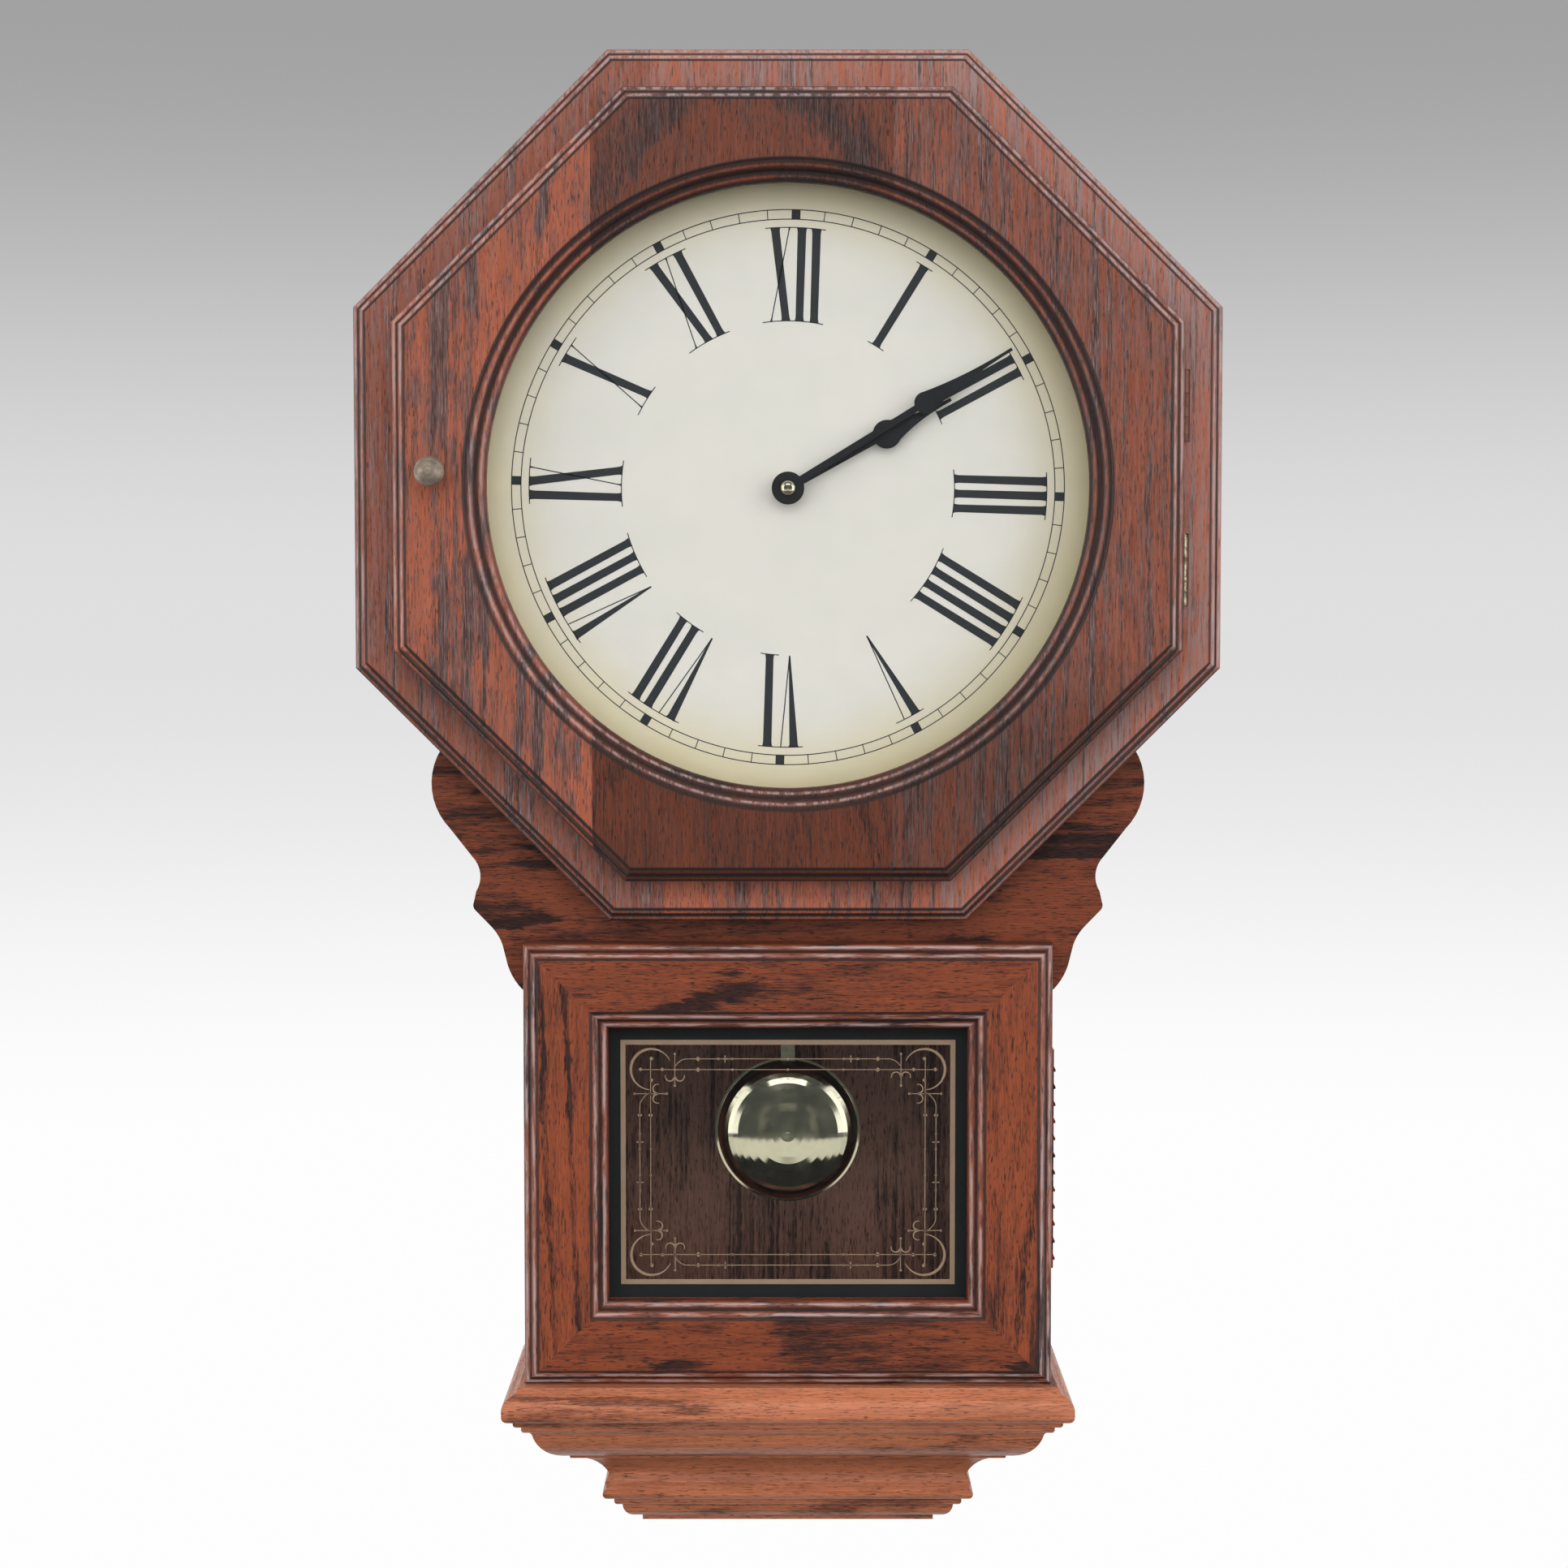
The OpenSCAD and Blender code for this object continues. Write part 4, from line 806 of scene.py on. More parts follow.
BRASS = MetalFinish("bright_brass_polished", "bright_brass", (0.80, 0.76, 0.58), 0.10, 0.12)
MIRROR_BRASS = MetalFinish("bright_brass_bob", "bright_brass", (0.80, 0.76, 0.58), 0.07, 0.01)
HINGE_BRASS = MetalFinish("aged_brass_hinge", "aged_brass", (0.62, 0.52, 0.35), 0.33, 0.4, aged=0.8,
                          dull_above=0.0)
KNOB = KnobFinish("aged_brass_knob", "aged_brass")
STEEL = MetalFinish("steel_plain", "steel", (0.62, 0.62, 0.63), 0.3, 0.3)
BLACK_HANDS = MouldedFinish("hand_black_satin", "hand_black", (0.010, 0.010, 0.013), 0.33, 0.15, 0.01)
BLACK_PLASTIC = MouldedFinish("black_plastic_moulded", "black_plastic", (0.018, 0.018, 0.020), 0.5, 0.5)
WHITE_PLASTIC = MouldedFinish("white_plastic_acetal", "white_plastic", (0.78, 0.76, 0.70), 0.35, 0.15)
RED_PLASTIC = MouldedFinish("red_plastic_moulded", "red_plastic", (0.52, 0.035, 0.03), 0.35, 0.2)
COIL = MouldedFinish("coil_amber_wound", "coil_amber", (0.42, 0.17, 0.05), 0.3, 0.4)
FERRITE = MouldedFinish("ferrite_sintered", "ferrite", (0.055, 0.055, 0.06), 0.7, 0.8)
CONE = MouldedFinish("speaker_pressed", "speaker_black", (0.028, 0.028, 0.030), 0.6, 0.6)
CELL = MouldedFinish("cell_wrap_dark", "cell_wrap", (0.045, 0.045, 0.055), 0.3, 0.1)
BOARD = MouldedFinish("fibreboard_bare", "fibreboard", (0.40, 0.28, 0.18), 0.85, 1.0, 0.05)
ENAMEL = DialFinish("dial_enamel_cream", "dial_enamel")
INK = MouldedFinish("dial_ink_black", "dial_enamel", (0.014, 0.018, 0.024), 0.55, 0.2, 0.005)
CLEAR = GlassFinish("clear_glass_flat", "clear_glass")
PANE = GlassFinish("painted_glass_clear", "painted_glass")
PAINT = MouldedFinish("painted_glass_black", "painted_glass", (0.008, 0.010, 0.012), 0.6, 0.2, 0.005)
GILT = MouldedFinish("painted_glass_gilt", "painted_glass", (0.30, 0.20, 0.125), 0.5, 0.3, 0.005)
VENEER = OakFinish("back_ply_veneer", "back_ply", centre=240.0, slope=0.03, spacing=3.4, waviness=5.0,
                   figure=0.9, start=30.0, late=(0.26, 0.125, 0.088), early=(0.090, 0.043, 0.034),
                   pore=(0.030, 0.018, 0.016), coat=0.02)


def place(x: float, off: float, h: float) -> Vector:
    """Turn (x, distance from the wall, height over the dial centre) in mm into row metres."""
    return Vector((x * MM, -off * MM, (h + DIAL_HEIGHT) * MM))


def rectangle(half_w: float, half_h: float) -> list[Point2]:
    """Give the corners of a rectangle about the middle."""
    return [(x * half_w, y * half_h) for x, y in ((-1, -1), (1, -1), (1, 1), (-1, 1))]


def arc_points(x: float, y: float, radius: float, start: float, span: float, steps: int) -> list[Point2]:
    """Give points along an arc that runs from a start over a span, both in degrees."""
    turns = [math.radians(start + span * i / steps) for i in range(steps + 1)]
    return [(x + radius * math.cos(t), y + radius * math.sin(t)) for t in turns]


def add_object(name: str, data: bpy.types.ID) -> bpy.types.Object:
    """Put a mesh, a lamp or a camera into the scene.

    Args:
        name: The object's name.
        data: What it shows.

    Returns:
        The new object.
    """
    made = bpy.data.objects.new(name, data)
    bpy.context.scene.collection.objects.link(made)
    return made


class Sheets:
    """Closed thin shapes, as printed or painted on a flat face."""

    def __init__(self, low: float, high: float, centre: Point2 = (0.0, 0.0)) -> None:
        """Set the film between two distances from the wall.

        Args:
            low: Distance of its back from the wall.
            high: Distance of its front from the wall.
            centre: Where (0, 0) of the drawing lies, as (x, h).
        """
        self.mesh = bmesh.new()
        self.low, self.high = low, high
        self.centre = centre
        self.cos, self.sin = 1.0, 0.0

    def aim(self, turn: float) -> None:
        """Turn what is drawn from here on clockwise by an angle in degrees."""
        self.cos, self.sin = math.cos(math.radians(turn)), math.sin(math.radians(turn))

    def corners(self, points: Sequence[Point2], off: float) -> list[bmesh.types.BMVert]:
        """Carry points of the drawing to the clock.

        Args:
            points: Points of the drawing.
            off: Their distance from the wall.

        Returns:
            A corner of the mesh at each point.
        """
        return [self.mesh.verts.new(place(x * self.cos + y * self.sin + self.centre[0], off,
                                          y * self.cos - x * self.sin + self.centre[1]))
                for x, y in points]

    def strip(self, left: Sequence[Point2], right: Sequence[Point2], closed: bool = False) -> None:
        """Lay a strip between two edges with equal counts of points.

        Args:
            left: Points of one edge.
            right: Points of the other edge.
            closed: Whether the last pair joins the first.
        """
        left_high, left_low, right_high, right_low = (
            self.corners(side, off) for side in (left, right) for off in (self.high, self.low))
        count = len(left)
        for i in range(count if closed else count - 1):
            j = (i + 1) % count
            for a, b in ((left_high, right_high), (right_low, left_low), (left_low, left_high),
                         (right_high, right_low)):
                self.mesh.faces.new((a[i], a[j], b[j], b[i]))
        if not closed:
            for i in (0, count - 1):
                self.mesh.faces.new((left_low[i], left_high[i], right_high[i], right_low[i]))

    def line(self, points: Sequence[Point2], width: float | Callable[[float], float]) -> None:
        """Draw a line through points.

        Args:
            points: The points.
            width: Its width, or a function from the share of the way to the width there.
        """
        left, right = [], []
        last = len(points) - 1
        for i, (x, y) in enumerate(points):
            before, after = points[max(i - 1, 0)], points[min(i + 1, last)]
            run = math.hypot(after[0] - before[0], after[1] - before[1])
            across = (-(after[1] - before[1]) / run, (after[0] - before[0]) / run)
            half = (width(i / last) if callable(width) else width) / 2
            left.append((x + across[0] * half, y + across[1] * half))
            right.append((x - across[0] * half, y - across[1] * half))
        self.strip(left, right)

    def ring(self, radius: float, width: float, count: int = 240) -> None:
        """Draw a full circle about the drawing's centre."""
        inner, outer = (arc_points(0.0, 0.0, radius + way * width / 2, 0, 360, count)[:-1]
                        for way in (-1, 1))
        self.strip(inner, outer, closed=True)

    def patch(self, points: Sequence[Point2]) -> None:
        """Fill a plain outline.

        Args:
            points: The outline's corners in order.
        """
        high, low = self.corners(points, self.high), self.corners(points, self.low)
        self.mesh.faces.new(high)
        self.mesh.faces.new(low[::-1])
        for i in range(len(points)):
            j = (i + 1) % len(points)
            self.mesh.faces.new((low[i], low[j], high[j], high[i]))


class Workshop:
    """Turns meshes into named pieces on the clock's bodies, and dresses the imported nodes."""

    SHARP_ANGLE = 24.0

    def __init__(self, frame: dict[str, object]) -> None:
        """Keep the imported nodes."""
        self.nodes: dict[str, bpy.types.Object] = frame["nodes"]

    @classmethod
    def soft_shading(cls) -> bpy.types.NodeTree:
        """Build the modifier that shades curved faces smoothly and keeps sharp corners.

        Returns:
            The node group of the modifier.
        """
        found = bpy.data.node_groups.get("soft_shading")
        if found:
            return found
        group = bpy.data.node_groups.new("soft_shading", "GeometryNodeTree")
        for way in ("INPUT", "OUTPUT"):
            group.interface.new_socket(name="Geometry", in_out=way, socket_type="NodeSocketGeometry")
        given, result, angle, sharp, edges, faces = (group.nodes.new(kind) for kind in (
            "NodeGroupInput", "NodeGroupOutput", "GeometryNodeInputMeshEdgeAngle", "FunctionNodeCompare",
            "GeometryNodeSetShadeSmooth", "GeometryNodeSetShadeSmooth"))
        sharp.operation = "GREATER_THAN"
        sharp.inputs[1].default_value = math.radians(cls.SHARP_ANGLE)
        edges.domain = "EDGE"
        edges.inputs["Shade Smooth"].default_value = False
        for start, end in ((angle.outputs[0], sharp.inputs[0]), (given.outputs[0], edges.inputs[0]),
                           (sharp.outputs[0], edges.inputs["Selection"]),
                           (edges.outputs[0], faces.inputs[0]), (faces.outputs[0], result.inputs[0])):
            group.links.new(start, end)
        return group

    def dress(self, finish: Finish, *nodes: str) -> None:
        """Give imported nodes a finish.

        Args:
            finish: The finish.
            *nodes: The nodes' names.
        """
        for name in nodes:
            mesh = self.nodes[name].data
            mesh.materials.clear()
            mesh.materials.append(finish.material())
            step = self.nodes[name].modifiers.new("soft_shading", "NODES")
            step.node_group = self.soft_shading()
            LOG.info("dressed %s in %s", name, finish.name)

    @staticmethod
    def piece(name: str, mesh: bmesh.types.BMesh, finish: Finish, body: str) -> None:
        """Make a named piece.

        Args:
            name: The piece's name.
            mesh: Its mesh, which is used up.
            finish: Its finish.
            body: The body that it rides on.
        """
        bmesh.ops.recalc_face_normals(mesh, faces=mesh.faces[:])
        data = bpy.data.meshes.new(name)
        mesh.to_mesh(data)
        mesh.free()
        made = add_object(name, data)
        data.materials.append(finish.material())
        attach(made, body)
        LOG.info("made %s on %s, %d faces", name, body, len(data.polygons))


@dataclass(frozen=True)
class DialPrint:
    """The numerals and the minute track on the dial plate."""

    face: float = 95.8
    film: float = 0.03
    turned: float = 1.7
    inner: float = 75.8
    outer: float = 117.8
    thick_outer: float = 3.9
    thick_inner: float = 3.5
    thin: float = 0.5
    serif: float = 0.45
    flare: float = 1.5
    overhang: float = 4.2
    same_step: float = 6.65
    other_step: float = 9.15
    v_half: float = 2.95
    v_shoulder: Point2 = (0.5, 1.2)
    x_half: float = 3.3
    track_in: float = 121.5
    track_out: float = 125.8
    track_line: float = 0.45
    track_gap: float = 0.2
    minute_w: float = 0.42
    block_w: float = 4.0
    numerals: tuple[str, ...] = ("XII", "I", "II", "III", "IIII", "V", "VI", "VII", "VIII", "IX", "X",
                                 "XI")

    def stroke(self, ink: Sheets, top: float, foot: float, wide: float, thick: bool) -> None:
        """Draw one upright or slanting stroke that spreads into its serifs.

        Args:
            ink: The film to draw in.
            top: Middle of the stroke at the outer end.
            foot: Middle of the stroke at the inner end.
            wide: How far the stroke spreads at its ends.
            thick: Whether it is a thick stroke.
        """
        left, right = [], []
        steps = 14
        for i in range(steps + 1):
            share = 0.5 - 0.5 * math.cos(math.pi * i / steps)
            middle = foot + (top - foot) * share
            radius = self.inner + (self.outer - self.inner) * share
            taper = (self.thick_outer - self.thick_inner) * share
            half = (self.thick_inner + taper if thick else self.thin) / 2
            near = min(share, 1.0 - share) * (self.outer - self.inner)
            half += wide * max(0.0, 1.0 - near / self.flare) ** 2
            height = math.sqrt(max(radius ** 2 - middle ** 2, 0.0))
            left.append((middle - half, height))
            right.append((middle + half, height))
        ink.strip(left, right)

    def wedge(self, ink: Sheets, middle: float) -> None:
        """Draw a V: a thick wedge and a thin line that meet at the foot.

        Args:
            ink: The film to draw in.
            middle: The V's middle.
        """
        apex = (middle + 0.1, self.inner + 0.2)
        top = math.sqrt(self.outer ** 2 - middle ** 2)
        spread, drop = self.v_shoulder
        left, right = ([(middle - self.v_half + way * (self.thick_outer / 2 + spread), top),
                        (middle - self.v_half + way * self.thick_outer / 2, top - drop),
                        (apex[0] + way * 0.35, apex[1])] for way in (-1, 1))
        ink.strip(left, right)
        ink.line([(middle + self.v_half, top), apex], self.thin)

    def serif_arc(self, ink: Sheets, radius: float, low: float, high: float) -> None:
        """Draw a serif along the dial's own curve between two places across."""
        a, b = math.asin(low / radius), math.asin(high / radius)
        ink.line([(radius * math.sin(a + (b - a) * i / 16), radius * math.cos(a + (b - a) * i / 16))
                  for i in range(17)], self.serif)

    def numeral(self, ink: Sheets, letters: str) -> None:
        """Draw one numeral upright at the top of the dial.

        Args:
            ink: The film, aimed at the numeral's hour.
            letters: Its letters, of I, V and X.
        """
        half = {"I": self.overhang, "V": self.v_half + self.overhang, "X": self.x_half + self.overhang}
        places = [0.0]
        for before, after in zip(letters, letters[1:]):
            places.append(places[-1] + (self.same_step if before == after else self.other_step))
        shift = (places[0] - half[letters[0]] + places[-1] + half[letters[-1]]) / 2
        places = [p - shift for p in places]
        for letter, middle in zip(letters, places):
            if letter == "I":
                self.stroke(ink, middle, middle, 0.55, True)
            elif letter == "V":
                self.wedge(ink, middle)
            else:
                self.stroke(ink, middle - 3.1, middle + 3.1, 0.5, True)
                self.stroke(ink, middle + 3.5, middle - 3.6, 0.35, False)
        low, high = places[0] - half[letters[0]], places[-1] + half[letters[-1]]
        self.serif_arc(ink, self.outer, low, high)
        footed = [p for letter, p in zip(letters, places) if letter != "V"]
        if footed:
            start = low if letters[0] != "V" else footed[0] - self.overhang
            end = high if letters[-1] != "V" else footed[-1] + self.overhang
            self.serif_arc(ink, self.inner, start, end)

    def build(self, shop: Workshop) -> None:
        """Print the dial.

        Args:
            shop: Where the print is made.
        """
        ink = Sheets(self.face, self.face + self.film)
        ink.ring(self.track_in, self.track_line)
        ink.ring(self.track_out, self.track_line)
        low, high = self.track_in + self.track_gap, self.track_out - self.track_gap
        for minute in range(60):
            ink.aim(minute * 6 + self.turned)
            half = (self.minute_w if minute % 5 else self.block_w) / 2
            ink.patch([(-half, low), (half, low), (half, high), (-half, high)])
        for hour, letters in enumerate(self.numerals):
            ink.aim(hour * 30 + self.turned)
            self.numeral(ink, letters)
        shop.piece("dial_print", ink.mesh, INK, "case")


@dataclass(frozen=True)
class Side:
    """The ornament of one pair of sides of the glass, as distances from the middle of a side."""

    upright: bool
    stop: float
    diamond: float
    dots: Point2
    cross: float
    inner_dot: float


@dataclass(frozen=True)
class WindowPainting:
    """The black border and the gilt lines on the back of the lower glass."""

    back: float = 92.0
    film: float = 0.05
    centre: Point2 = (0.0, -310.0)
    half_w: float = 82.6
    half_h: float = 63.1
    line_w: float = 76.1
    line_h: float = 55.8
    line: float = 2.3
    hair: float = 0.36
    outer_in: float = 7.7
    inner_in: float = 12.7
    trefoil_in: float = 23.9
    trefoil_reach: Point2 = (7.3, 7.4)
    hook: float = 2.1
    hook_at: Point2 = (2.3, 3.2)
    corner_at: Point2 = (63.0, 43.2)
    crescent: float = 9.5
    level: Side = Side(False, 29.2, 41.5, (25.9, 32.1), 29.0, 25.6)
    upright: Side = Side(True, 29.6, 21.9, (6.1, 13.1), 9.4, 6.1)

    @staticmethod
    def diamond(gilt: Sheets, x: float, y: float, size: float = 1.15) -> None:
        """Draw a small diamond."""
        gilt.patch([(x - size, y), (x, y - size), (x + size, y), (x, y + size)])

    @staticmethod
    def dot(gilt: Sheets, x: float, y: float) -> None:
        """Draw a small round dot."""
        gilt.patch(arc_points(x, y, 0.6, 0, 360, 12)[:-1])

    def side(self, gilt: Sheets, along: float, deep: float, kind: Side, sign: float) -> None:
        """Draw the ornament of one side of the border.

        Args:
            gilt: The film to draw in.
            along: Half length of the gold line on this side.
            deep: Distance of this side's gold line from the middle.
            kind: Where the ornament of this pair of sides lies.
            sign: 1 or -1, which of the pair it is.
        """
        def at(run: float, depth: float) -> Point2:
            """Turn a place along the side and in from the gold line into a place on the glass."""
            reach = sign * (deep - depth)
            return (reach, run) if kind.upright else (run, reach)

        outer, inner = self.outer_in, self.inner_in
        stop, trefoil = along - kind.stop, along - self.trefoil_in
        back, on = inner - self.trefoil_reach[0], inner + self.trefoil_reach[1]
        for way in (-1, 1):
            gilt.line([at(0, outer), at(way * stop, outer)], self.hair)
            gilt.line([at(way * (stop + (trefoil - stop) * s), outer + (inner - 1.4 - outer) * s ** 2)
                       for s in (0.0, 0.25, 0.5, 0.75, 1.0)], self.hair)
            gilt.line([at(0, inner), at(way * (along - 7.4), inner)], self.hair)
            gilt.line([at(way * trefoil, back), at(way * trefoil, on)], self.hair)
            self.dot(gilt, *at(way * trefoil, back))
            self.dot(gilt, *at(way * trefoil, on))
            self.diamond(gilt, *at(way * trefoil, inner), 0.9)
            stem = at(way * trefoil, inner + self.hook_at[1])
            for hook in (-1, 1):
                x, y = at(way * trefoil + hook * self.hook_at[0], inner + self.hook_at[1])
                start = math.degrees(math.atan2(stem[1] - y, stem[0] - x))
                turning = hook * way * (1 if kind.upright else -1) * sign
                gilt.line(arc_points(x, y, self.hook, start, 200 * turning, 20),
                          lambda share: 0.75 - 0.4 * share)
            for depth in (outer, inner):
                self.diamond(gilt, *at(way * kind.diamond, depth))
            for run in kind.dots:
                self.dot(gilt, *at(way * run, outer))
            cross = way * kind.cross
            gilt.line([at(cross, outer - 1.7), at(cross, outer + 1.7)], 0.5)
            gilt.line([at(cross - 1.2, outer), at(cross + 1.2, outer)], 0.7)
            self.dot(gilt, *at(way * kind.inner_dot, inner))
        if not kind.upright:
            for depth in (outer, inner):
                self.dot(gilt, *at(0.0, depth))

    def corner(self, gilt: Sheets, x: float, y: float) -> None:
        """Draw a corner's crescent and its diamonds.

        Args:
            gilt: The film to draw in.
            x: The corner's middle across.
            y: The corner's middle up.
        """
        start = math.degrees(math.atan2(y, x)) - 120
        gilt.line(arc_points(x, y, self.crescent, start, 240, 40),
                  lambda share: 0.35 + 0.95 * math.sin(math.pi * share) ** 1.2)
        for dx, dy in ((5, 0), (-5, 0), (0, 5), (0, -5)):
            self.diamond(gilt, x + dx, y + dy, 1.0)

    def build(self, shop: Workshop) -> None:
        """Paint the glass.

        Args:
            shop: Where the painting is made.
        """
        black, gilt = (Sheets(self.back - self.film, self.back, self.centre) for _ in range(2))
        edge = self.line / 2
        wide = rectangle(self.line_w + edge, self.line_h + edge)
        black.strip(rectangle(self.half_w, self.half_h), wide, closed=True)
        gilt.strip(wide, rectangle(self.line_w - edge, self.line_h - edge), closed=True)
        for sign in (-1, 1):
            self.side(gilt, self.line_w, self.line_h, self.level, sign)
            self.side(gilt, self.line_h, self.line_w, self.upright, sign)
            for other in (-1, 1):
                self.corner(gilt, sign * self.corner_at[0], other * self.corner_at[1])
        shop.piece("glass_border", black.mesh, PAINT, "case")
        shop.piece("glass_gilding", gilt.mesh, GILT, "case")


@dataclass(frozen=True)
class Lamp:
    """A rectangular lamp."""

    name: str
    at: Triple
    size: Point2
    energy: float
    colour: Triple = (1.0, 1.0, 1.0)

    def build(self, aim: Triple) -> None:
        """Hang the lamp.

        Args:
            aim: What it points at.
        """
        data = bpy.data.lights.new(self.name, "AREA")
        data.shape = "RECTANGLE"
        data.size, data.size_y = self.size
        data.energy = self.energy
        data.color = self.colour
        made = add_object(self.name, data)
        made.location = self.at
        made.rotation_euler = (Vector(aim) - Vector(self.at)).to_track_quat("-Z", "Y").to_euler()


@dataclass(frozen=True)
class Studio:
    """The camera, the lamps, the backdrop and the floor, in metres."""

    camera_at: Triple = (-0.0018, -1.450, -0.171)
    pitch: float = 86.8
    lens: float = 68.0
    sensor: float = 36.0
    aim: Triple = (0.0, -0.1, -0.24)
    lamps: tuple[Lamp, ...] = (
        Lamp("lamp_left", (-1.55, -1.0, 0.10), (1.0, 1.8), 8.0),
        Lamp("lamp_right", (1.55, -1.0, 0.10), (1.0, 1.8), 8.5),
        Lamp("lamp_top", (0.0, -2.0, 1.1), (1.4, 0.6), 5.2, (1.0, 0.99, 0.96)))
    floor_half: float = 1.4
    floor_height: float = -1.7
    floor_pale: tuple[Triple, Triple] = ((0.80, 0.80, 0.80), (0.82, 0.82, 0.82))
    backdrop_greys: tuple[Point2, ...] = ((0.0, 0.985), (0.46, 0.74), (1.0, 0.36))
    backdrop_span: Point2 = (-0.17, 0.2)
    table_tones: tuple[Triple, Triple] = ((0.012, 0.014, 0.016), (0.86, 0.86, 0.80))
    wall_tones: tuple[Triple, Triple] = ((0.066, 0.074, 0.072), (0.36, 0.36, 0.34))
    sky_tones: tuple[Triple, Triple] = ((0.07, 0.068, 0.065), (1.12, 1.12, 1.14))
    table_edge: Point2 = (-0.49, -0.47)
    wall_glow: Point2 = (0.72, 0.90)
    wall_foot: Point2 = (-0.246, -0.234)
    room_turn: Point2 = (-0.05, 0.05)
    sky_rise: Point2 = (-0.60, 0.25)
    sky_fall: tuple[float, ...] = (-0.97, -0.3, 1.65, 0.80)

    def build(self) -> None:
        """Set up everything round the clock."""
        scene = bpy.context.scene
        scene.view_settings.view_transform = "Standard"
        data = bpy.data.cameras.new("camera")
        data.lens = self.lens
        data.sensor_width = self.sensor
        scene.camera = add_object("camera", data)
        scene.camera.location = self.camera_at
        scene.camera.rotation_euler = (math.radians(self.pitch), 0.0, 0.0)
        for lamp in self.lamps:
            lamp.build(self.aim)
        self.floor()
        self.backdrop()
        LOG.info("made the studio with %d lamps", len(self.lamps))

    def floor(self) -> None:
        """Lay a pale floor below the view, which keeps the clock's shadow."""
        mesh = bmesh.new()
        corners = rectangle(self.floor_half, self.floor_half)
        mesh.faces.new([mesh.verts.new((x, y, self.floor_height)) for x, y in corners])
        data = bpy.data.meshes.new("studio_floor")
        mesh.to_mesh(data)
        mesh.free()
        material = bpy.data.materials.new("studio_floor_pale")
        material.use_nodes = True
        g = Graph(material.node_tree)
        g.fill(material.node_tree.nodes["Principled BSDF"], Roughness=0.9,
               Base_Color=g.mix(g.ease(g.noise(g.spot()), 0.3, 0.7), *self.floor_pale))
        data.materials.append(material)
        made = add_object("studio_floor", data)
        made.visible_glossy = made.visible_transmission = made.visible_diffuse = False

    def backdrop(self) -> None:
        """Light the scene from a soft sky, and show the pale backdrop that the camera looks at."""
        world = bpy.data.worlds.new("studio")
        bpy.context.scene.world = world
        world.use_nodes = True
        world.node_tree.nodes.clear()
        g = Graph(world.node_tree)
        x, y, z = g.split(Signal(g, g.node("ShaderNodeTexCoord").outputs["Generated"]))
        path = g.node("ShaderNodeLightPath").outputs
        camera, glossy, passing = (Signal(g, path[f"Is {kind} Ray"])
                                   for kind in ("Camera", "Glossy", "Transmission"))
        ramp = g.node("ShaderNodeValToRGB")
        ramp.color_ramp.interpolation = "EASE"
        ramp.color_ramp.elements.new(self.backdrop_greys[1][0])
        for element, (position, grey) in zip(ramp.color_ramp.elements, self.backdrop_greys):
            element.position = position
            element.color = (grey, grey, grey, 1.0)
        pale = g.fill(ramp, Fac=g.join("ShaderNodeMapRange", z, *self.backdrop_span))[0]
        table = g.mix(g.ease(z, *self.table_edge), *self.table_tones)
        wall = g.mix(g.ease(abs(x), *self.wall_glow), *self.wall_tones)
        front = g.mix(g.ease(z, *self.wall_foot), g.mix(passing, wall, table), wall)
        room = g.mix(g.ease(y, *self.room_turn), front, pale)
        sky = g.tint(g.mix(g.ease(z, *self.sky_rise), *self.sky_tones), g.ease(y, *self.sky_fall))
        colour = g.mix(camera, g.mix(glossy.at_least(passing), sky, room), pale)
        shade = g.fill(g.node("ShaderNodeBackground"), Color=colour, Strength=1.0)[0]
        g.fill(g.node("ShaderNodeOutputWorld"), Surface=shade)


@dataclass(frozen=True)
class Carcass:
    """The case: its boards, its back with the hanger, and the scrolled board at its ears."""

    tone: float = 0.7
    ear_tone: float = 0.72
    ear_height: float = -330.0

    def build(self, shop: Workshop) -> None:
        """Dress the case.

        Args:
            shop: Where the pieces are made and dressed.
        """
        shop.dress(oak("oak_ear_board", Grain.LEVEL, centre=self.ear_height, slope=0.06, spacing=12.0,
                       start=100.0, tone=self.ear_tone, figure=1.3), "ear_board")
        shop.dress(oak("oak_sides", start=3500.0, tone=self.tone), "left_side", "right_side")
        shop.dress(oak("oak_boards", Grain.LEVEL, start=3800.0, tone=self.tone),
                   "case_top", "case_bottom", "side_grille")
        shop.dress(VENEER, "back_panel")
        shop.dress(BRASS, "hanger_plate", "hanger_screws")


@dataclass(frozen=True)
class Surround:
    """The octagon panel behind the door, glued up from four boards with upright grain."""

    half: float = 197.0
    hollows: tuple[float, ...] = (2.6, 5.5)
    ridges: tuple[float, ...] = (1.1, 4.1)

    def build(self, shop: Workshop) -> None:
        """Dress the four boards.

        Args:
            shop: Where the pieces are made and dressed.
        """
        cut = partial(oak, reliefs=(Relief(Outline.OCTAGON, self.half, self.hollows, self.ridges),))
        # Each board carries its own share of painted sheen, the most on the right stile; the relief paints
        # shade and highlights on the moulding.
        shop.dress(cut("oak_stile_left", centre=-260.0, pith=70.0, spacing=3.6, patchiness=0.4, bloom=0.44),
                   "surround_left")
        shop.dress(cut("oak_stile_right", centre=40.0, pith=55.0, slope=0.03, spacing=3.6, patchiness=0.4,
                       start=300.0, bloom=0.98, tone=1.5), "surround_right")
        shop.dress(cut("oak_surround_top", centre=-60.0, slope=0.10, spacing=7.5, start=500.0, bloom=0.78,
                       tone=1.3), "surround_top")
        shop.dress(cut("oak_surround_bottom", centre=-40.0, slope=0.12, spacing=4.0, patchiness=0.4,
                       start=820.0, bloom=0.32, tone=1.58), "surround_bottom")


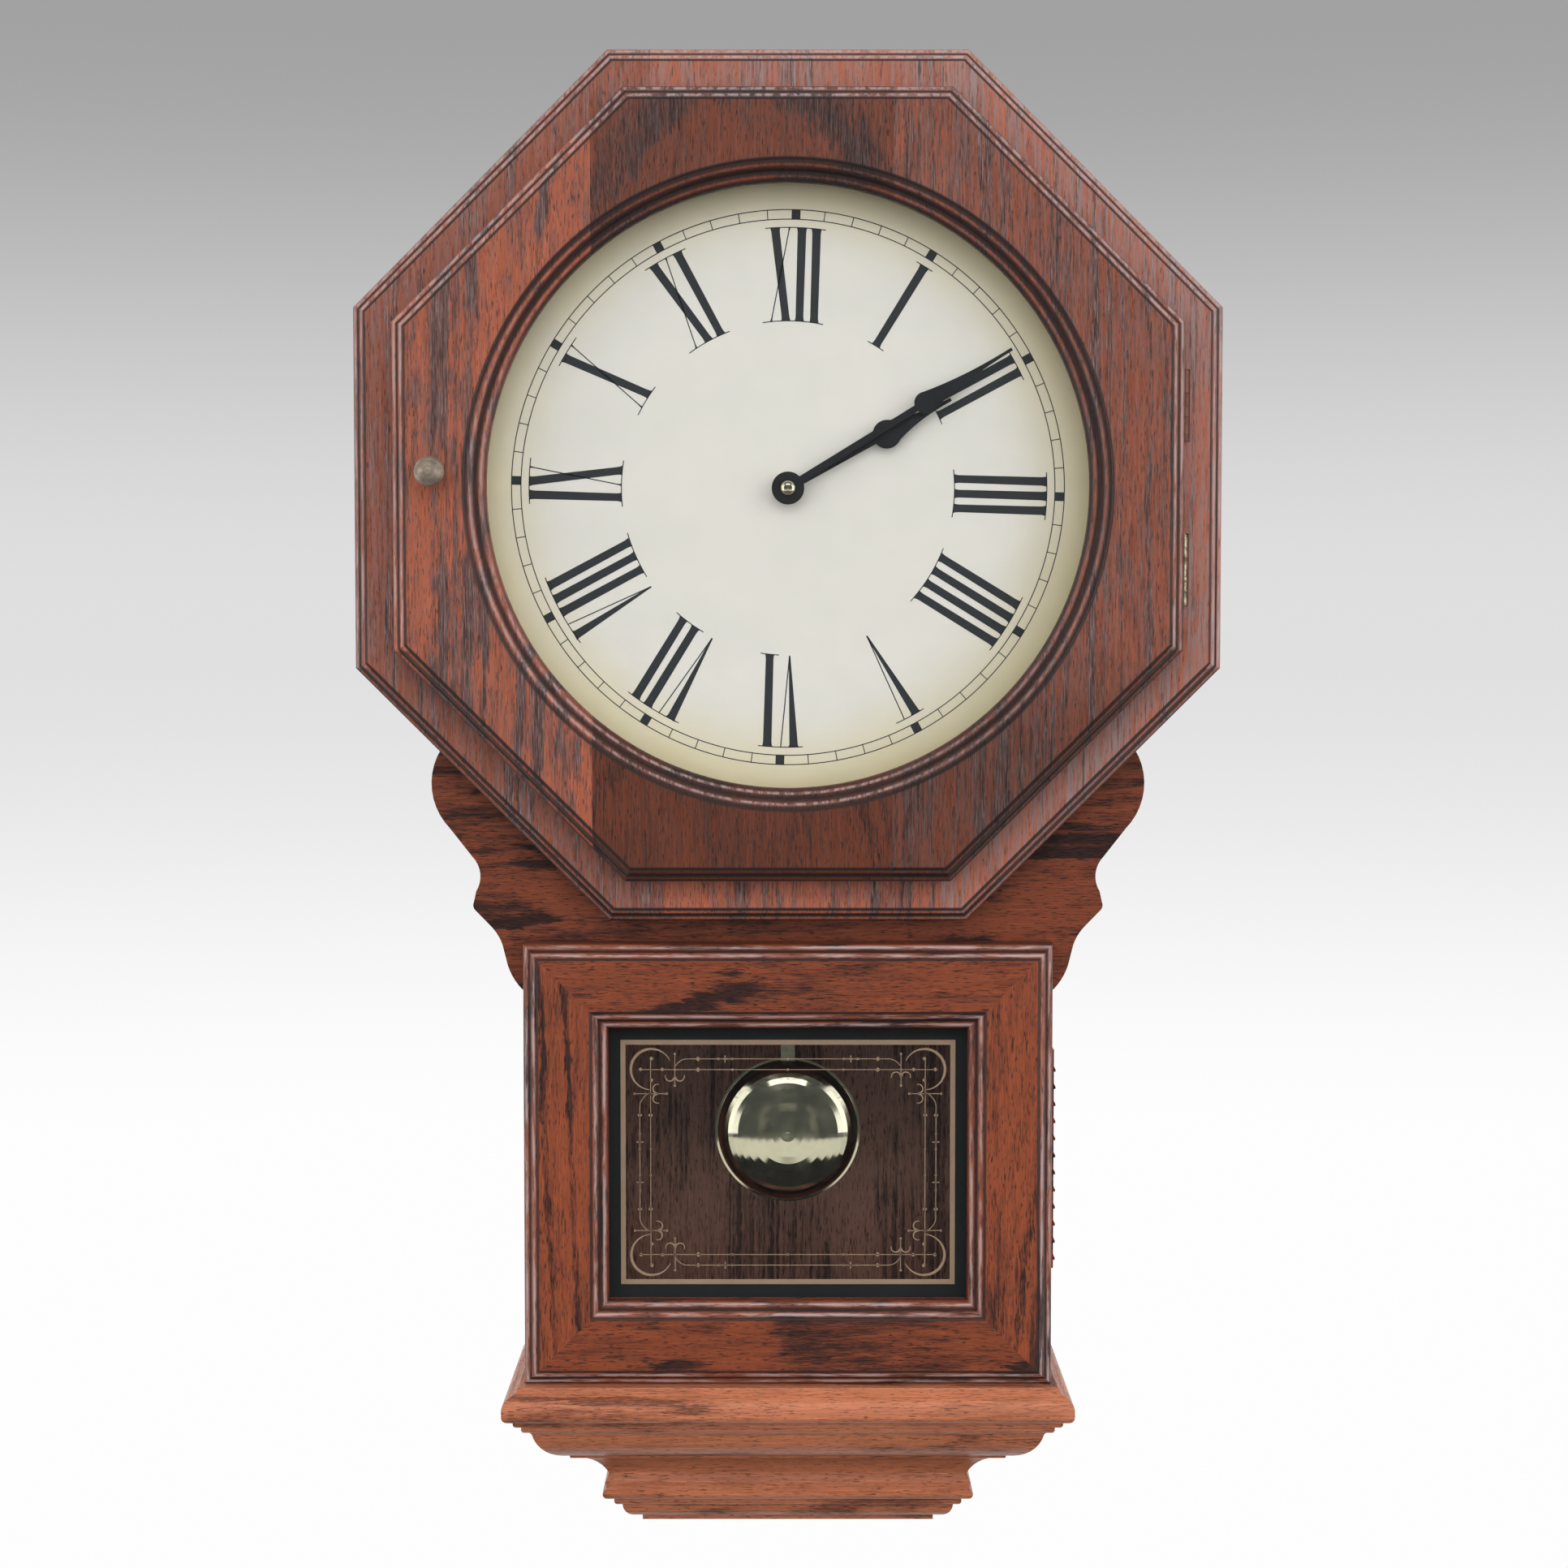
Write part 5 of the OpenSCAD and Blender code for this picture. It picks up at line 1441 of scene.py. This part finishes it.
@dataclass(frozen=True)
class Door:
    """The glazed door: four boards, the glass, the knob, the hinges and the catch."""

    half: float = 177.5
    hollows: tuple[float, ...] = (2.85, 6.0)
    ridges: tuple[float, ...] = (1.2, 4.5)
    opening: float = 135.5
    opening_hollows: tuple[float, ...] = (4.7, 9.7)
    opening_ridges: tuple[float, ...] = (2.3, 7.0)

    def build(self, shop: Workshop) -> None:
        """Dress the boards and the fittings.

        Args:
            shop: Where the pieces are made and dressed.
        """
        cut = partial(oak, reliefs=(
            Relief(Outline.OCTAGON, self.half, self.hollows, self.ridges),
            Relief(Outline.ROUND, self.opening, self.opening_hollows, self.opening_ridges, inward=False,
                   width=1.7, depth=0.4, wear=1.15, highlight_width=1.5)))
        # Each board carries its own share of painted sheen; the reliefs paint shade and highlights on the
        # octagon moulding and on the round opening, darkest at its upper right.
        shop.dress(cut("oak_door_left", centre=-90.0, pith=75.0, slope=0.06, spacing=11.0, start=1200.0,
                       bloom=0.24, tone=1.25, figure=1.3), "door_left_stile")
        shop.dress(cut("oak_door_right", centre=330.0, patchiness=0.4, start=1500.0, bloom=0.28, tone=0.85,
                       deep_end=(-118.0, -60.0, 0.62)), "door_right_stile")
        shop.dress(cut("oak_door_top", centre=-20.0, pith=58.0, slope=0.16, spacing=6.0, patchiness=0.3,
                       start=1900.0, bloom=0.13, tone=0.56, figure=0.8), "door_top_block")
        shop.dress(cut("oak_door_bottom", centre=-30.0, pith=62.0, slope=0.14, spacing=6.0, patchiness=0.3,
                       start=2300.0, bloom=0.07, tone=0.45, figure=0.8), "door_bottom_block")
        shop.dress(CLEAR, "dial_glass")
        shop.dress(BLACK_PLASTIC, "glazing_ring")
        shop.dress(KNOB, "door_knob")
        shop.dress(HINGE_BRASS, "hinge_leaf_door", "hinge_leaf_case", "hinge_pins")
        shop.dress(STEEL, "knob_screw", "catch_plate")
        shop.dress(FERRITE, "door_catch")


@dataclass(frozen=True)
class Dial:
    """The dial plate with its print, and the board that it lies on."""

    printing: DialPrint = DialPrint()

    def build(self, shop: Workshop) -> None:
        """Dress the plate and its board, and print the dial.

        Args:
            shop: Where the pieces are made and dressed.
        """
        shop.dress(BOARD, "dial_board")
        shop.dress(ENAMEL, "dial_plate")
        self.printing.build(shop)


@dataclass(frozen=True)
class LowerFrame:
    """The mitred frame round the pendulum window, with its painted glass and beads."""

    outer_hollows: tuple[float, ...] = (3.2, 6.7)
    outer_ridges: tuple[float, ...] = (1.4, 4.9)
    bar: float = 38.8
    inner_hollows: tuple[float, ...] = (3.7, 7.7)
    inner_ridges: tuple[float, ...] = (1.7, 5.7)
    stile_middle: float = 160.0
    stile_slope: float = 0.05
    painting: WindowPainting = WindowPainting()

    def build(self, shop: Workshop) -> None:
        """Dress the frame and the beads, and paint the glass.

        Args:
            shop: Where the pieces are made and dressed.
        """
        # The reliefs paint shade in the frame's hollows and highlights on its ridges.
        cut = partial(oak, reliefs=(
            Relief(Outline.FRAME, 0.0, self.outer_hollows, self.outer_ridges),
            Relief(Outline.FRAME, -self.bar, self.inner_hollows, self.inner_ridges, inward=False)))
        shop.dress(cut("oak_rail_top", Grain.LEVEL, centre=-340.0, pith=55.0, slope=0.10, spacing=7.0,
                       start=700.0, tone=0.80, figure=1.5), "frame_top_rail")
        shop.dress(cut("oak_rail_bottom", Grain.LEVEL, centre=-505.0, pith=62.0, slope=0.10, spacing=9.0,
                       start=900.0, tone=0.78, figure=1.5), "frame_bottom_rail")
        for way, side, start in ((-1, "left", 2700.0), (1, "right", 3100.0)):
            shop.dress(cut(f"oak_stile_thin_{side}", centre=way * self.stile_middle,
                           slope=-way * self.stile_slope, spacing=3.1, waviness=6.0, start=start, tone=0.9,
                           figure=1.1, patchiness=0.3), f"frame_{side}_stile")
        shop.dress(oak("oak_beads", Grain.LEVEL, start=5000.0), "glass_beads")
        shop.dress(PANE, "lower_glass")
        self.painting.build(shop)


@dataclass(frozen=True)
class Base:
    """The two mouldings of lighter oak under the case."""

    height: float = -560.0
    spacing: float = 8.0
    late: Triple = (0.48, 0.165, 0.080)
    early: Triple = (0.27, 0.085, 0.042)
    pore: Triple = (0.10, 0.036, 0.020)

    def build(self, shop: Workshop) -> None:
        """Dress the mouldings and the bottom plate.

        Args:
            shop: Where the pieces are made and dressed.
        """
        cut = partial(OakFinish, slot="base_oak", centre=self.height, pith=70.0, slope=0.05,
                      spacing=self.spacing, late=self.late, early=self.early, pore=self.pore, coat=0.2)
        shop.dress(cut("base_oak_front", grain=Grain.LEVEL, start=4200.0), "base_front")
        shop.dress(cut("base_oak_corbel", grain=Grain.LEVEL, start=4200.0, tone=0.96),
                   "corbel_front", "corbel_bottom")
        shop.dress(cut("base_oak_inward", grain=Grain.INWARD, start=4600.0),
                   "base_left", "base_right", "corbel_left", "corbel_right")


class Works:
    """What moves the clock and sounds: the hands, the movement, the pendulum and the speaker."""

    FINISHES: tuple[tuple[Finish, tuple[str, ...]], ...] = (
        (BLACK_HANDS, ("minute_hand", "hour_hand")),
        (MIRROR_BRASS, ("pendulum_bob",)),
        (BRASS, ("hand_nut", "pendulum_rod", "bushing_nut")),
        (STEEL, ("battery_contacts", "minute_arbor")),
        (BLACK_PLASTIC, ("movement_front", "movement_rear", "pendulum_arm", "set_knob")),
        (WHITE_PLASTIC, ("minute_wheel", "hour_wheel", "third_wheel")),
        (RED_PLASTIC, ("chime_switch",)),
        (COIL, ("motor_block",)),
        (CELL, ("battery_cells",)),
        (CONE, ("speaker",)),
    )

    def build(self, shop: Workshop) -> None:
        """Dress the works."""
        for finish, nodes in self.FINISHES:
            shop.dress(finish, *nodes)


def main() -> None:
    """Build the studio and the clock."""
    logging.basicConfig(level=logging.INFO, format="%(levelname)s %(message)s")
    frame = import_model()
    Studio().build()
    shop = Workshop(frame)
    for part in (Carcass(), Surround(), Door(), Dial(), LowerFrame(), Base(), Works()):
        part.build(shop)
        LOG.info("finished the %s", type(part).__name__)
    bare = sorted(name for name, node in frame["nodes"].items()
                  if not node.data.materials or node.data.materials[0] is None)
    LOG.info("nodes without a finish: %s", bare)


if __name__ == "__main__":
    main()
